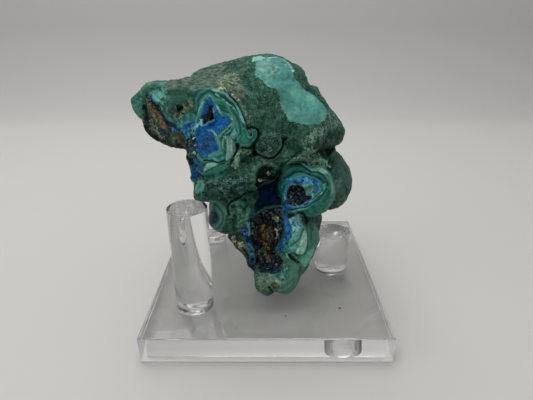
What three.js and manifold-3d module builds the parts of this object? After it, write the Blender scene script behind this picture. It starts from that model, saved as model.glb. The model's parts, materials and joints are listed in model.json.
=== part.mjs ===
// A malachite and azurite specimen resting on a clear three-peg acrylic stand.
// Millimetres, +Z up. The origin is the centre of the base plate's underside, on the surface the stand
// rests on. -Y is the show side: the broken faces of the stone look that way.
// Five pieces: the stone, which grew as one piece, the base plate, and three pegs cemented on the plate.
import * as THREE from 'three';
import { ConvexGeometry } from 'three/addons/geometries/ConvexGeometry.js';
import { mergeVertices } from 'three/addons/utils/BufferGeometryUtils.js';
import Module from 'manifold-3d';

const wasm = await Module();
wasm.setup();

// ---------------------------------------------------------------- driving dimensions
const PLATE_SIDE = 76.2;
const PLATE_THICK = 9;
const PLATE_ARRIS = 0.4; // flat polished edge all round
const PEG_DIAMETER = 12;
const PEG_SIDES = 36;
const SEAT_GAP = 0.3; // air left between the stone and what it rests on
const SWELL = 0.02; // how far a lobe departs from an ellipsoid, as a share of its size

// Each peg: where its axis stands on the plate, and how far it rises above the plate.
const PEGS = {
  peg_front_left: { x: -23.4, y: -21.9, rise: 35 },
  peg_back_left: { x: -23.4, y: 21.9, rise: 35 },
  peg_right: { x: 24.3, y: 0, rise: 15.2 },
};

// The stone is a cluster of rounded lobes. A lobe is an ellipsoid: centre, half-axes, an optional turn
// in degrees about X, Y and Z, and how finely it is faceted. "broken" names the flat that cuts it.
const LOBES = {
  crown: { at: [-1.5, 1, 69.4], half: [16, 18.6, 15.2], cells: 6 },
  crown_right: { at: [5, 6, 75.8], half: [8, 14, 7], cells: 3 },
  flank: { at: [12, 3, 66.6], half: [11.6, 15.4, 7.8], turn: [0, 50, 0], cells: 4 },
  cheek: { at: [10.4, -2.5, 63], half: [9.6, 13.4, 8.6], cells: 3 },
  brow: { at: [3, -1.5, 58.5], half: [12, 15, 8.6], cells: 3 },
  shoulder: { at: [15.4, 5, 61.5], half: [9.6, 13, 7.2], cells: 3 },
  side_knob: { at: [15.4, 9, 71.8], half: [3, 6, 3.2], cells: 2 },
  ridge: { at: [-12.7, 4, 73.5], half: [12.4, 12, 8.5], cells: 4 },
  disc: { at: [0.4, -14.5, 61.8], half: [4.2, 4.8, 4.1], cells: 3 },
  lower_left: { at: [-11, -11, 40], half: [8.4, 9.5, 9], cells: 4 },
  neck: { at: [9, -1, 51.5], half: [11.5, 13, 7], cells: 3 },
  eye: { at: [12.6, -8.5, 44.8], half: [9.6, 17, 8.8], turn: [-14, 0, 0], cells: 4, broken: 'eye_face' },
  right_upper: { at: [19.4, 7, 59.4], half: [7.4, 9, 5.2], cells: 3 },
  right_lower: { at: [22.3, 8, 41.5], half: [8.8, 12, 10.6], cells: 4 },
  column: { at: [4.2, -5, 30.5], half: [11, 13, 18], cells: 4, broken: 'column_face' },
  pale_lobe: { at: [9.6, -13.4, 30], half: [4.4, 7.5, 7.4], cells: 3 },
  outer_shell: { at: [13.4, -7.5, 26.4], half: [5, 9, 9], cells: 3 },
  lower_shell: { at: [8.6, -11, 21.5], half: [6.6, 8.5, 8.5], cells: 3 },
  heel: { at: [14.2, 0.5, 28.4], half: [5.6, 7.5, 6.4], cells: 3 },
  tip_left: { at: [0.4, -16, 15.3], half: [4.6, 6, 5.9], cells: 3 },
  tip_right: { at: [5.6, -15.2, 17], half: [5.8, 7.4, 7.6], cells: 3 },
  back_left: { at: [-14.4, 14.2, 51.4], half: [10, 10, 9.6], cells: 3 },
  back_upper: { at: [-6, 16, 62], half: [12, 9, 11], cells: 3 },
  back_middle: { at: [5, 17, 50], half: [12, 9, 12], cells: 3 },
  back_lower: { at: [8, 10, 36], half: [10, 10, 11], cells: 3 },
};

// A limb is a tapering round bar between two centres.
const LIMBS = {
  finger: { from: [-1.5, -13.5, 53.5], to: [-18.6, -18.4, 47.5], wide: 5.6, narrow: 3.9 },
};

// A block is a rough broken lump: the hull of its corners.
const BLOCKS = {
  arm: [
    [-38.5, -13, 73.8], [-36.6, -14, 76.2], [-34.2, -14.5, 77.4], [-31.6, -13, 78.9], [-27, -17, 76.9],
    [-20, -19.5, 77.2], [-12, -18.5, 77], [-37.2, -13, 70.4], [-33.7, -14, 64.2], [-31, -15, 61.8],
    [-28, -16, 60.9], [-21.7, -17.5, 60.2], [-14, -17, 58], [-30.1, -8, 78.6], [-23.4, -3, 78.8],
    [-12, 0, 78], [-34, -7, 75.4], [-32.6, -6, 68.5], [-26, -4, 63.4], [-13, 1, 60],
  ],
  star: [
    [-20.5, -20, 76.6], [-17.5, -20.4, 77.6], [-14, -20.8, 77.6], [-11, -20.8, 76.4], [-8.6, -20.7, 74.2],
    [-6.4, -20.5, 70.8], [-5.2, -20.2, 66], [-4.8, -19.6, 62.4], [-8, -20.2, 59.8], [-10.4, -20.4, 56.4],
    [-14.5, -20.4, 53.8], [-18.4, -19.8, 52.6], [-20.6, -18.6, 55], [-21.4, -18.8, 60.5], [-17, -7, 80],
    [-9, -14, 79.2], [-4, -15, 77], [-0.4, -16, 71.5], [0.6, -15.5, 65], [-2.4, -15, 59.6], [-8, -12, 54],
    [-18, -12, 51],
  ],
  star_side: [
    [-22.5, -16, 57], [-22.6, -15, 53.2], [-22, -16.4, 49.8], [-20.8, -16, 47.4], [-12, -15, 46],
    [-12, -16, 62], [-22.5, -17, 62], [-20, -8, 64], [-14, -2, 62], [-12, -3, 52], [-18.6, -8, 55],
    [-17, -10, 49.4],
  ],
  matrix: [
    [-12.6, -9.6, 28.6], [-10.2, -10.4, 24.6], [-7, -12, 19.8], [-4.4, -13.6, 16.4], [0, -10, 17],
    [-9.6, -4, 27], [-6, -3, 22], [-2, -14.5, 36], [-8, -14.5, 34], [-6, -16, 24],
  ],
};

// A broken face is a flat cut: a point on it, and the direction it faces.
const BROKEN_FACES = {
  eye_face: { at: [10.3, -20.3, 48.2], facing: [-0.16, -0.95, 0.25] },
  column_face: { at: [0, -16.5, 30], facing: [-0.12, -0.98, 0.1] },
};

// A hollow is an ellipsoid taken out of the cluster.
const HOLLOWS = {
  cavity: { at: [-0.2, -17.5, 30], half: [5.4, 6.5, 10.6], cells: 3 },
  deep_gap: { at: [0.4, -15, 45.6], half: [3.6, 8, 4.8], cells: 2 },
  vug: { at: [-14.7, -21.5, 69.4], half: [1.6, 3.4, 3], cells: 1 },
  under_star: { at: [-8, -20.5, 57.4], half: [3.2, 3.2, 2], turn: [0, -28, 0], cells: 1 },
};

// ---------------------------------------------------------------- helpers
const radians = (degrees) => (degrees * Math.PI) / 180;

function solidFrom(geometry) {
  const plain = geometry.clone();
  plain.deleteAttribute('normal');
  plain.deleteAttribute('uv');
  const merged = mergeVertices(plain, 1e-4);
  return new wasm.Manifold(
    new wasm.Mesh({
      numProp: 3,
      vertProperties: merged.attributes.position.array,
      triVerts: new Uint32Array(merged.index.array),
    }),
  );
}

function geometryFrom(solid) {
  const mesh = solid.getMesh();
  const geometry = new THREE.BufferGeometry();
  geometry.setAttribute('position', new THREE.BufferAttribute(mesh.vertProperties, mesh.numProp));
  geometry.setIndex(new THREE.BufferAttribute(mesh.triVerts, 1));
  geometry.computeVertexNormals();
  return geometry;
}

// A slow swell of the surface, so that no lobe is a true ellipsoid. It is 1 on average.
function swell(x, y, z) {
  const across = Math.sin(x * 0.31 + y * 0.17);
  const inward = Math.sin(y * 0.29 - z * 0.23 + 1.3);
  const upward = Math.sin(z * 0.37 + x * 0.19 + 2.1);
  return 1 + SWELL * (across + inward + upward);
}

function lobeSolid({ at, half, turn = [0, 0, 0], cells }) {
  const geometry = new THREE.IcosahedronGeometry(1, cells);
  const place = new THREE.Matrix4().compose(
    new THREE.Vector3(...at),
    new THREE.Quaternion().setFromEuler(new THREE.Euler(...turn.map(radians))),
    new THREE.Vector3(...half),
  );
  const position = geometry.attributes.position;
  const point = new THREE.Vector3();
  for (let i = 0; i < position.count; i += 1) {
    point.fromBufferAttribute(position, i);
    const factor = swell(at[0] + point.x * half[0], at[1] + point.y * half[1], at[2] + point.z * half[2]);
    point.multiplyScalar(factor).applyMatrix4(place);
    position.setXYZ(i, point.x, point.y, point.z);
  }
  return solidFrom(geometry);
}

function limbSolid({ from, to, wide, narrow }) {
  const start = new THREE.Vector3(...from);
  const end = new THREE.Vector3(...to);
  const length = start.distanceTo(end);
  const profile = [];
  const capSteps = 4;
  for (let i = 0; i <= capSteps; i += 1) {
    const a = (Math.PI / 2) * (i / capSteps);
    profile.push(new THREE.Vector2(wide * Math.sin(a), -wide * Math.cos(a)));
  }
  for (let i = 0; i <= capSteps; i += 1) {
    const a = (Math.PI / 2) * (i / capSteps);
    profile.push(new THREE.Vector2(narrow * Math.cos(a), length + narrow * Math.sin(a)));
  }
  profile[0].x = 0;
  profile[profile.length - 1].x = 0;
  const geometry = new THREE.LatheGeometry(profile, 14);
  const along = end.clone().sub(start).normalize();
  geometry.applyQuaternion(new THREE.Quaternion().setFromUnitVectors(new THREE.Vector3(0, 1, 0), along));
  geometry.translate(...from);
  return solidFrom(geometry);
}

// An upright round bar that stands on the ground plane.
function pegGeometry(radius, rise) {
  const geometry = new THREE.CylinderGeometry(radius, radius, rise, PEG_SIDES);
  geometry.rotateX(Math.PI / 2);
  geometry.translate(0, 0, rise / 2);
  return geometry;
}

function blockSolid(corners) {
  return solidFrom(new ConvexGeometry(corners.map((corner) => new THREE.Vector3(...corner))));
}

// Everything in front of a flat face, to be cut away.
function beyondFace({ at, facing }) {
  const size = 120;
  const geometry = new THREE.BoxGeometry(size, size, size);
  geometry.translate(0, 0, size / 2);
  const outward = new THREE.Vector3(...facing).normalize();
  geometry.applyQuaternion(new THREE.Quaternion().setFromUnitVectors(new THREE.Vector3(0, 0, 1), outward));
  geometry.translate(...at);
  return solidFrom(geometry);
}

// ---------------------------------------------------------------- the stone
function stoneGeometry() {
  let stone = null;
  const join = (solid) => {
    stone = stone ? stone.add(solid) : solid;
  };
  Object.values(LOBES).forEach((lobe) => {
    const whole = lobeSolid(lobe);
    join(lobe.broken ? whole.subtract(beyondFace(BROKEN_FACES[lobe.broken])) : whole);
  });
  Object.values(LIMBS).forEach((limb) => join(limbSolid(limb)));
  Object.values(BLOCKS).forEach((corners) => join(blockSolid(corners)));
  Object.values(HOLLOWS).forEach((hollow) => {
    stone = stone.subtract(lobeSolid(hollow));
  });
  Object.values(PEGS).forEach((peg) => {
    const seat = pegGeometry(PEG_DIAMETER / 2 + SEAT_GAP, peg.rise + SEAT_GAP);
    seat.translate(peg.x, peg.y, PLATE_THICK);
    stone = stone.subtract(solidFrom(seat));
  });
  return geometryFrom(stone);
}

// ---------------------------------------------------------------- the stand
function plateGeometry() {
  const edge = PLATE_SIDE / 2 - PLATE_ARRIS;
  const outline = new THREE.Shape();
  outline.moveTo(-edge, -edge);
  outline.lineTo(edge, -edge);
  outline.lineTo(edge, edge);
  outline.lineTo(-edge, edge);
  outline.closePath();
  const geometry = new THREE.ExtrudeGeometry(outline, {
    depth: PLATE_THICK - 2 * PLATE_ARRIS,
    bevelEnabled: true,
    bevelThickness: PLATE_ARRIS,
    bevelSize: PLATE_ARRIS,
    bevelSegments: 1,
  });
  geometry.translate(0, 0, PLATE_ARRIS);
  return geometry;
}

// ---------------------------------------------------------------- the scene graph
const malachite = new THREE.MeshStandardMaterial({
  name: 'malachite',
  color: 0x2f5a49,
  roughness: 0.6,
  metalness: 0,
});
const acrylic = new THREE.MeshStandardMaterial({
  name: 'acrylic',
  color: 0xf2f6f5,
  roughness: 0.03,
  metalness: 0,
  transparent: true,
  opacity: 0.35,
});

const specimen = new THREE.Group();

const stone = new THREE.Mesh(stoneGeometry(), malachite);
stone.name = 'stone';
specimen.add(stone);

const plate = new THREE.Mesh(plateGeometry(), acrylic);
plate.name = 'base_plate';
specimen.add(plate);

Object.entries(PEGS).forEach(([name, { x, y, rise }]) => {
  const peg = new THREE.Mesh(pegGeometry(PEG_DIAMETER / 2, rise), acrylic);
  peg.name = name;
  peg.position.set(x, y, PLATE_THICK);
  specimen.add(peg);
});

export default specimen;
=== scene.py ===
# A malachite and azurite specimen that rests on a clear acrylic stand with three pegs.
# Metres, +Z up. The show side of the stone looks along -Y and is seen from 24 degrees above.
import json
import math

import bpy
import numpy as np
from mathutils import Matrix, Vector
from mathutils.bvhtree import BVHTree

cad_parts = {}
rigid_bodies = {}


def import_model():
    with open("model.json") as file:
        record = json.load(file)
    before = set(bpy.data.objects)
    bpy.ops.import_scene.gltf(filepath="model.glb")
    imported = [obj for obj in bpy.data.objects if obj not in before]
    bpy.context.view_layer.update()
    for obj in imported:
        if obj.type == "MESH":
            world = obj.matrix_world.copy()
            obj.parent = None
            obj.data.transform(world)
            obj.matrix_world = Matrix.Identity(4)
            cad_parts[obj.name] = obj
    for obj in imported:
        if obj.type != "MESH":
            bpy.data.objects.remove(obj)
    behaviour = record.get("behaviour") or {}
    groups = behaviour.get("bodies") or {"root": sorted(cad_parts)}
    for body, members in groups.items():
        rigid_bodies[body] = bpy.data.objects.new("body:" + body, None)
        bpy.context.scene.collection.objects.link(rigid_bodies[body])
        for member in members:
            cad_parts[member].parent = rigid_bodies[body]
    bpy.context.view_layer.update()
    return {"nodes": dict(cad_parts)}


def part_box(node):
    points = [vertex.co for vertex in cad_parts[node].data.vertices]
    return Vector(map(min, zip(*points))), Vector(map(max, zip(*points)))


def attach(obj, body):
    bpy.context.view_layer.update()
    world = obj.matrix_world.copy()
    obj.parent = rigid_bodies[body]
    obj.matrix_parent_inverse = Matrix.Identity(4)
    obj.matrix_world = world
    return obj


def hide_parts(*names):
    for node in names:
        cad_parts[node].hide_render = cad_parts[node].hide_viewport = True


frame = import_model()

MM = 0.001
VIEW_TILT = math.radians(24)
SHOW = np.array([0, -math.cos(VIEW_TILT), math.sin(VIEW_TILT)])  # out of the show side, to the viewer
SHOW_UP = np.array([0, math.sin(VIEW_TILT), math.cos(VIEW_TILT)])
GRID = 0.37  # mm between the points of the stone's surface
SHARE_KEPT = 0.62  # of the surface's triangles, once its hidden sides are thinned
OUT_OF_REACH = -7.0  # mm, the distance given to points that a marking can't be on
STROKE_MARGIN = 2  # mm around a stroke in which distances to it are worked out


# ---------------------------------------------------------------- modelling helpers
def new_object(name, data):
    made = bpy.data.objects.new(name, data)
    bpy.context.scene.collection.objects.link(made)
    return made


def deselect_all():
    for thing in bpy.context.view_layer.objects:
        thing.select_set(False)


def make_active(thing):
    deselect_all()
    thing.select_set(True)
    bpy.context.view_layer.objects.active = thing


def apply_modifier(thing, kind, **settings):
    made = thing.modifiers.new(kind.lower(), kind)
    for key, value in settings.items():
        setattr(made, key, value)
    make_active(thing)
    bpy.ops.object.modifier_apply(modifier=made.name)


def add_group(thing, name, weights, least=0.0):
    """A vertex group of the points whose weight is over the least one."""
    group = thing.vertex_groups.new(name=name)
    for i in np.nonzero(weights > least)[0]:
        group.add([int(i)], weights[i], "REPLACE")


def read(parts, key, width, kind=float):
    """What a mesh's points or edges hold under a key, as one row for each of them."""
    found = np.empty(len(parts) * width, kind)
    parts.foreach_get(key, found)
    return found.reshape(-1, width)


def points_of(thing):
    return read(thing.data.vertices, "co", 3) / MM


def set_points(thing, points):
    thing.data.vertices.foreach_set("co", (points * MM).ravel())
    thing.data.update()


def normals_of(thing):
    return read(thing.data.vertices, "normal", 3, np.float32).astype(float)


def record(mesh, name, values):
    """Writes a value at each point of a mesh, for its material to read."""
    mesh.attributes.new(name, "FLOAT", "POINT").data.foreach_set("value", values)


def many_copies(name, shapes, faces, shades):
    """One mesh of many copies of a small shape, each with its own corners, in mm, and its own shade."""
    count = shapes.shape[1]
    every_face = [[i + k * count for i in face] for k in range(len(shapes)) for face in faces]
    mesh = bpy.data.meshes.new(name)
    mesh.from_pydata(shapes.reshape(-1, 3) * MM, [], every_face)
    record(mesh, "shade", np.repeat(shades, count))
    return new_object(name, mesh)


def taken_apart(thing):
    """The corners and the faces of a small shape. The shape itself is removed."""
    corners = np.array([corner.co for corner in thing.data.vertices])
    faces = [list(face.vertices) for face in thing.data.polygons]
    bpy.data.objects.remove(thing)
    return corners, faces


def on_show_plane(points):
    """Each point's place on the show side's plane, in mm: across and up."""
    return np.stack([points[:, 0], points @ SHOW_UP], axis=1)


def ease(values, low, high):
    """0 up to the low limit, 1 from the high one on, and a smooth rise between them."""
    share = np.clip((values - low) / (high - low), 0, 1)
    return share * share * (3 - 2 * share)


# ---------------------------------------------------------------- outlines on the show side
def curve_through(corners, closed, steps=5):
    """Points along a smooth curve (Catmull-Rom) through the corners."""
    here = corners = np.array(corners, float)
    if closed:
        before, after, far = (np.roll(corners, shift, 0) for shift in (1, -1, -2))
    else:
        padded = np.vstack([2 * corners[0] - corners[1], corners, 2 * corners[-1] - corners[-2]])
        before, here, after, far = padded[:-3], padded[1:-2], padded[2:-1], padded[3:]
    pieces = []
    for step in range(steps):
        t = step / steps
        pieces.append(
            0.5 * (2 * here + (after - before) * t + (2 * before - 5 * here + 4 * after - far) * t**2
                   + (3 * here - before - 3 * after + far) * t**3)
        )
    line = np.stack(pieces, axis=1).reshape(-1, 2)
    return line if closed else np.vstack([line, corners[-1]])


def nearest_distance(places, line, closed):
    starts = line if closed else line[:-1]
    ends = np.roll(line, -1, 0) if closed else line[1:]
    nearest = np.full(len(places), 1e9)
    for start, end in zip(starts, ends):
        along = end - start
        share = np.clip((places - start) @ along / max(along @ along, 1e-9), 0, 1)
        gap = places - start - share[:, None] * along
        nearest = np.minimum(nearest, (gap**2).sum(1))
    return np.sqrt(nearest)


def inside(places, line):
    found = np.zeros(len(places), bool)
    for start, end in zip(line, np.roll(line, -1, 0)):
        straddles = (start[1] > places[:, 1]) != (end[1] > places[:, 1])
        rise = end[1] - start[1] if end[1] != start[1] else 1e-9
        crossing = start[0] + (places[:, 1] - start[1]) / rise * (end[0] - start[0])
        found ^= straddles & (places[:, 0] < crossing)
    return found


def depth_in_shape(places, corners, width=None):
    """How far each place is inside a closed outline or a stroke of some width, in mm: under 0 outside."""
    closed = width is None
    line = curve_through(corners, closed)
    margin = -OUT_OF_REACH if closed else STROKE_MARGIN
    near = ((places > line.min(0) - margin) & (places < line.max(0) + margin)).all(1)
    distance = nearest_distance(places[near], line, closed)
    depths = np.full(len(places), OUT_OF_REACH)
    if closed:
        depths[near] = np.where(inside(places[near], line), distance, -distance)
    else:
        depths[near] = width / 2 - distance
    return depths


# Closed outlines on the show side, in mm across and up its plane.
OUTLINES = {
    # the arm, at the left
    "arm_face": [(-39, 62), (-36.6, 63.3), (-34.5, 64.2), (-34, 65.9), (-31.5, 66.7), (-28.6, 67),
        (-27.4, 63.4), (-24, 63), (-20, 62.8), (-15, 62.9), (-18.4, 59), (-19.6, 54), (-20.6, 50),
        (-24, 47.4), (-29, 48.2), (-33.4, 51.4), (-36, 55), (-38, 59)],
    "arm_bowl": [(-33.4, 64), (-30, 64.8), (-27, 63), (-20, 62.2), (-18.8, 58), (-20, 52), (-24, 48.6),
        (-29, 49.5), (-33.6, 53), (-35.2, 57), (-34.4, 61)],
    "arm_rim": [(-38.9, 61.9), (-36.6, 63.2), (-34.5, 64.4), (-34, 65.5), (-32.4, 66.3), (-30.4, 66.5),
        (-29, 66.9), (-27.5, 65.7), (-27.3, 63.3), (-28.2, 64.3), (-30.3, 64.6), (-32.1, 64), (-33.4, 63.1),
        (-34.1, 62), (-34.2, 60.5), (-35.1, 59), (-35, 57.2), (-35.6, 55.5), (-36.5, 56.6), (-37.5, 58.7),
        (-38.1, 60.3)],
    "arm_top": [(-28.3, 67.4), (-25.9, 69.1), (-23.1, 70.9), (-19.4, 74.4), (-15.8, 76.4), (-12.2, 73.4),
        (-7.5, 67.4), (-5.6, 62.1), (-6.3, 59.6), (-8.2, 60.5), (-10.2, 61.8), (-12.6, 62.8), (-16.2, 62.9),
        (-20.4, 62.9), (-26.7, 63.4)],
    "dusty_spot": [(-12.9, 66.7), (-12.3, 70.7), (-10.1, 70.8), (-8.2, 69.2), (-7.8, 67.4), (-8.9, 65.5),
        (-10.4, 64.2), (-11.9, 64.3)],
    "arm_panel": [(-26.7, 63.3), (-22.1, 62.7), (-21.3, 61.8), (-21.7, 60.9), (-22.4, 60), (-25.3, 60.4),
        (-26.4, 61.3)],
    "teal_field": [(-24.3, 56), (-23, 57.1), (-21.5, 57.6), (-19.9, 56.8), (-19.5, 55.5), (-21, 55.3),
        (-22.7, 55.1), (-24.2, 54.5), (-25.3, 55.3)],
    "arm_pale": [(-32.4, 63.5), (-30.5, 64.3), (-29.1, 63.7), (-28.1, 62.7), (-28.4, 61.7), (-29.6, 61.6),
        (-30.4, 60.9), (-31.3, 61), (-32, 62)],
    "crevice_rim": [(-25.9, 59.9), (-22.4, 59.9), (-21.4, 61.1), (-20, 60.3), (-19.9, 58.5), (-21.2, 58.5),
        (-22.7, 57.5), (-24.2, 56.1), (-25.1, 57), (-25.2, 59)],
    "crevice": [(-24.8, 59.7), (-23.3, 59.7), (-23.1, 59.1), (-24, 58.5), (-24.4, 57.7), (-24.9, 58.3),
        (-25.1, 59.3)],
    "pebbles": [(-28.2, 59.3), (-26.7, 58.7), (-25.6, 57.8), (-24.8, 56.8), (-25.3, 55.8), (-26.7, 56.7),
        (-27.8, 57.7)],
    "arm_matrix": [(-35, 58), (-33.3, 58.4), (-32.2, 57), (-30.9, 55.4), (-29.5, 54), (-27.4, 53.6),
        (-24.7, 53.5), (-22.7, 52.6), (-22, 50.5), (-22.6, 48.1), (-25.1, 48.3), (-28.6, 48.6),
        (-31.6, 50.1), (-33.9, 52.1), (-35.8, 54.9)],
    "dark_band": [(-33.8, 62.9), (-32.3, 62.1), (-31.6, 61), (-30.4, 60.4), (-29.4, 59.1), (-29, 57.8),
        (-28, 56), (-27, 54.1), (-28.1, 53.4), (-29, 55.5), (-29.7, 57.4), (-31.3, 59), (-32.3, 60.3),
        (-33.3, 61.9)],
    "rust": [(-33.6, 62.2), (-33, 62), (-32.5, 60.8), (-31.8, 59.4), (-30.5, 58.2), (-29.7, 56.9),
        (-29, 55.5), (-28, 54), (-28.9, 53.7), (-30.1, 54.4), (-31.4, 56.2), (-32.7, 58.1), (-33.4, 59.7),
        (-33.8, 60.9)],
    "left_dark": [(-34.8, 60.8), (-34, 60), (-33.8, 58.4), (-34.3, 58), (-34.9, 59.3)],
    "left_dark_low": [(-35.1, 57.5), (-33.8, 57.4), (-33.7, 56.6), (-35, 56.2)],
    "navy_under": [(-31.7, 54.4), (-30.5, 54.1), (-28.7, 53.2), (-27.6, 52.3), (-28.3, 51.4), (-30.1, 52.1),
        (-31.3, 53.1)],
    "navy_corner": [(-27.8, 55.5), (-26.2, 55.4), (-25.2, 54.3), (-25.5, 53.8), (-27, 54), (-27.9, 54.7)],
    "blue_bit_upper": [(-23, 54.9), (-21.8, 55.2), (-20.1, 54.9), (-20.5, 53.6), (-22.2, 53.6),
        (-23.2, 54.2)],
    "blue_bit_lower": [(-23.2, 53.1), (-22, 53.3), (-21.7, 52.1), (-22.4, 51.2), (-23, 52.1)],
    "cream_knob": [(-25.8, 51.7), (-24.5, 52), (-23.7, 51.1), (-24.5, 50.1), (-25.7, 50.2)],
    # the star
    "star_face": [(-18.6, 62.6), (-15, 63), (-12.6, 62.9), (-9.8, 61.9), (-7.9, 60), (-6.3, 57.2),
        (-5.4, 54), (-5.2, 51.6), (-6.4, 49.4), (-8.6, 48), (-8.6, 45.6), (-10.6, 43.9), (-15, 43.4),
        (-19.4, 44.4), (-21.4, 48), (-20.6, 52), (-19.6, 56), (-19.8, 60)],
    "star_blue": [(-15.2, 60.3), (-16.5, 59.2), (-17.1, 57.6), (-18.5, 55.4), (-19.2, 53.8), (-19.7, 51.5),
        (-19.4, 47.9), (-18.4, 46.1), (-17.4, 45.6), (-15.4, 46.7), (-13.7, 47.4), (-13.5, 48.6),
        (-14.5, 50.6), (-13.5, 51.8), (-11.4, 53), (-10, 54.5), (-10.1, 55.6), (-12.2, 56), (-13.1, 57),
        (-13.7, 58.6), (-14.5, 60)],
    "star_dull": [(-18.5, 50.1), (-17.2, 51.7), (-15.6, 51.6), (-14.8, 50.1), (-14.9, 48), (-16.4, 47),
        (-18.2, 47), (-18.9, 48.3)],
    "star_speckled": [(-22.6, 50.5), (-20.7, 51.6), (-19.3, 50.9), (-19.1, 48.1), (-19.8, 45.4),
        (-21.6, 44.6), (-23.1, 45.2), (-23.4, 48)],
    "star_frost": [(-21.4, 53.1), (-19.9, 53.9), (-18.8, 54.9), (-17.8, 55.6), (-17.3, 55), (-17.9, 54.1),
        (-19.1, 53.5), (-20.2, 52.5), (-20.7, 51.6), (-21.5, 52)],
    "frost_spot_a": [(-20.8, 53.1), (-20.1, 52.9), (-20.6, 52.6)],
    "frost_spot_b": [(-21.5, 52.2), (-20.7, 51.8), (-20.9, 51.1), (-21.6, 51.5)],
    "star_vug": [(-15, 59.2), (-14.3, 58.5), (-14.7, 57.4), (-14.6, 56), (-15.3, 55.8), (-16.2, 55.1),
        (-17, 54.4), (-17.4, 55), (-17.1, 55.7), (-17.6, 56.4), (-16.7, 56.8), (-15.7, 58.1),
        (-15.5, 58.8)],
    "rim_bands": [(-13.3, 61.6), (-10.7, 60), (-8.2, 57.6), (-6.4, 54.9), (-5.4, 52.4), (-4.1, 50.3),
        (-5.5, 48.6), (-7.4, 49.1), (-8.2, 50.6), (-8.3, 53.1), (-9.1, 55.4), (-10.9, 56.8), (-12.5, 57.6),
        (-13.4, 59.5)],
    "lip_cream": [(-12.6, 63.2), (-11.9, 63.5), (-11, 62.7), (-11.5, 62.2), (-12.3, 62.5)],
    "lip_cream_low": [(-9.2, 61.6), (-8.2, 61), (-7.6, 60), (-8.4, 60.1)],
    "blue_sliver": [(-8.8, 54.1), (-8.4, 52.6), (-7.9, 50.6), (-9.8, 51.1), (-9.2, 52.6)],
    "pale_knob": [(-11.2, 51), (-9.8, 50.6), (-8.8, 49.3), (-8.7, 47.7), (-9.4, 46.1), (-10.6, 44.9),
        (-11.5, 44.6), (-11.2, 46.9), (-12.3, 48.2), (-12.3, 49.8)],
    "black_gap": [(-8.7, 49.4), (-7.8, 48.5), (-8.6, 46.7), (-9.8, 45), (-10.4, 44.4), (-9.1, 46.7),
        (-8.5, 48.1)],
    "flap": [(-6.4, 53.2), (-5.4, 52.4), (-4.9, 51), (-4, 51.3), (-4, 52.6), (-3.2, 53.1), (-2.7, 52.5),
        (-3, 51), (-3.8, 49.8), (-5.2, 48.4), (-7.1, 48.8), (-7.9, 50.2), (-7, 51.6)],
    "flap_hole": [(-5.1, 52.9), (-4.3, 53.1), (-3.9, 52.6), (-4.3, 51.7), (-4.9, 51.5)],
    # a painted shadow under the flap's lower end
    "rust_nick": [(-4.2, 48.4), (-3.6, 47.8), (-2.8, 46.6), (-3.7, 46.5), (-4.2, 47.4)],
    "cream_sliver": [(-8.2, 48.3), (-7.4, 47.5), (-7.7, 45.7), (-8, 43.4), (-8.9, 42.5), (-10.1, 43.4),
        (-9.4, 45.6), (-8.6, 46.9)],
    "pale_leaf": [(-18.3, 41.5), (-17.3, 43.5), (-15.8, 44), (-14.1, 43.9), (-13.2, 43.7), (-14.7, 43.1),
        (-16.8, 42.2)],
    "green_facets": [(-18, 41), (-16.2, 41.9), (-14.4, 42.9), (-12.7, 43.6), (-11.2, 43.4), (-10.9, 42.5),
        (-11.8, 41), (-13.5, 39.7), (-15.8, 39.3), (-18.3, 39.6)],
    "blue_flank": [(-22, 43.5), (-19.8, 45.7), (-18.5, 43.2), (-18.3, 41.8), (-19.9, 40.3), (-21.1, 38.6),
        (-22.5, 40.1)],
    "flank_black": [(-23.2, 46.3), (-21.8, 45.7), (-21.3, 44.1), (-22.9, 43.8)],
    "flank_black_b": [(-20.6, 44.1), (-19.5, 43.5), (-20.4, 43)],
    # the crown
    "patch": [(-2.8, 73.3), (-3.1, 71.9), (-3.2, 70), (-3.2, 68.5), (-2.1, 67.6), (-1, 66.8), (-0.3, 65.8),
        (0.4, 65.1), (1.8, 64.7), (2.9, 64.5), (3.5, 63.7), (3.7, 62.5), (3.8, 61.2), (4, 60), (4.7, 59),
        (5.2, 58.1), (5.8, 56.9), (6.4, 56), (7.6, 55.9), (9.1, 55.5), (11.1, 55.3), (13.4, 55.3),
        (15.4, 55.7), (16.4, 56.6), (17.7, 57.7), (18.4, 59.2), (19.1, 61), (17.9, 61.9), (16.5, 63.2),
        (15.3, 64.3), (13.4, 65.4), (11.6, 65.7), (10.3, 66.2), (9.4, 67.5), (8.2, 68.5), (7.7, 70.3),
        (7.9, 71.7), (6.9, 73.5), (5.5, 75.2), (4, 76), (1.6, 75.6), (-0.4, 74.8), (-1.9, 74.1)],
    "patch_tip": [(-2.7, 73.1), (-1, 74.4), (1, 74.9), (1.6, 73.2), (0.4, 71.1), (-1, 69.6), (-2.1, 68.3),
        (-2.9, 69), (-2.9, 71.1)],
    "patch_haze": [(6.7, 64), (9.7, 65.5), (12.3, 65.1), (14.9, 63.8), (16.7, 61.8), (16.9, 59.5),
        (13.9, 59.2), (11.5, 60.3), (8.7, 61.3)],
    "patch_shade": [(3.7, 73.8), (5.5, 74.3), (6.3, 73.3), (6.7, 71.7), (5.5, 72.1), (4.2, 72.8)],
    "patch_moss": [(0.4, 71.9), (1.9, 72.4), (3.3, 71.4), (3.5, 69.2), (2.4, 67.5), (1, 68), (0.1, 69.7)],
    "cap": [(-4.3, 75.8), (-3.6, 76.9), (-2, 77), (-0.7, 76.2), (0.4, 75.8), (-1, 74.7), (-2.8, 74.3),
        (-4.2, 74.1)],
    "dust_right": [(18.6, 61.1), (21.1, 62.2), (22.6, 60.5), (23.7, 59.1), (22.9, 57.2), (21.7, 55.6),
        (20.2, 55.7), (17.5, 54.1), (15.3, 52.7), (13.4, 51.6), (11.9, 51), (11.3, 51.6), (13.4, 53.1),
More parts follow.
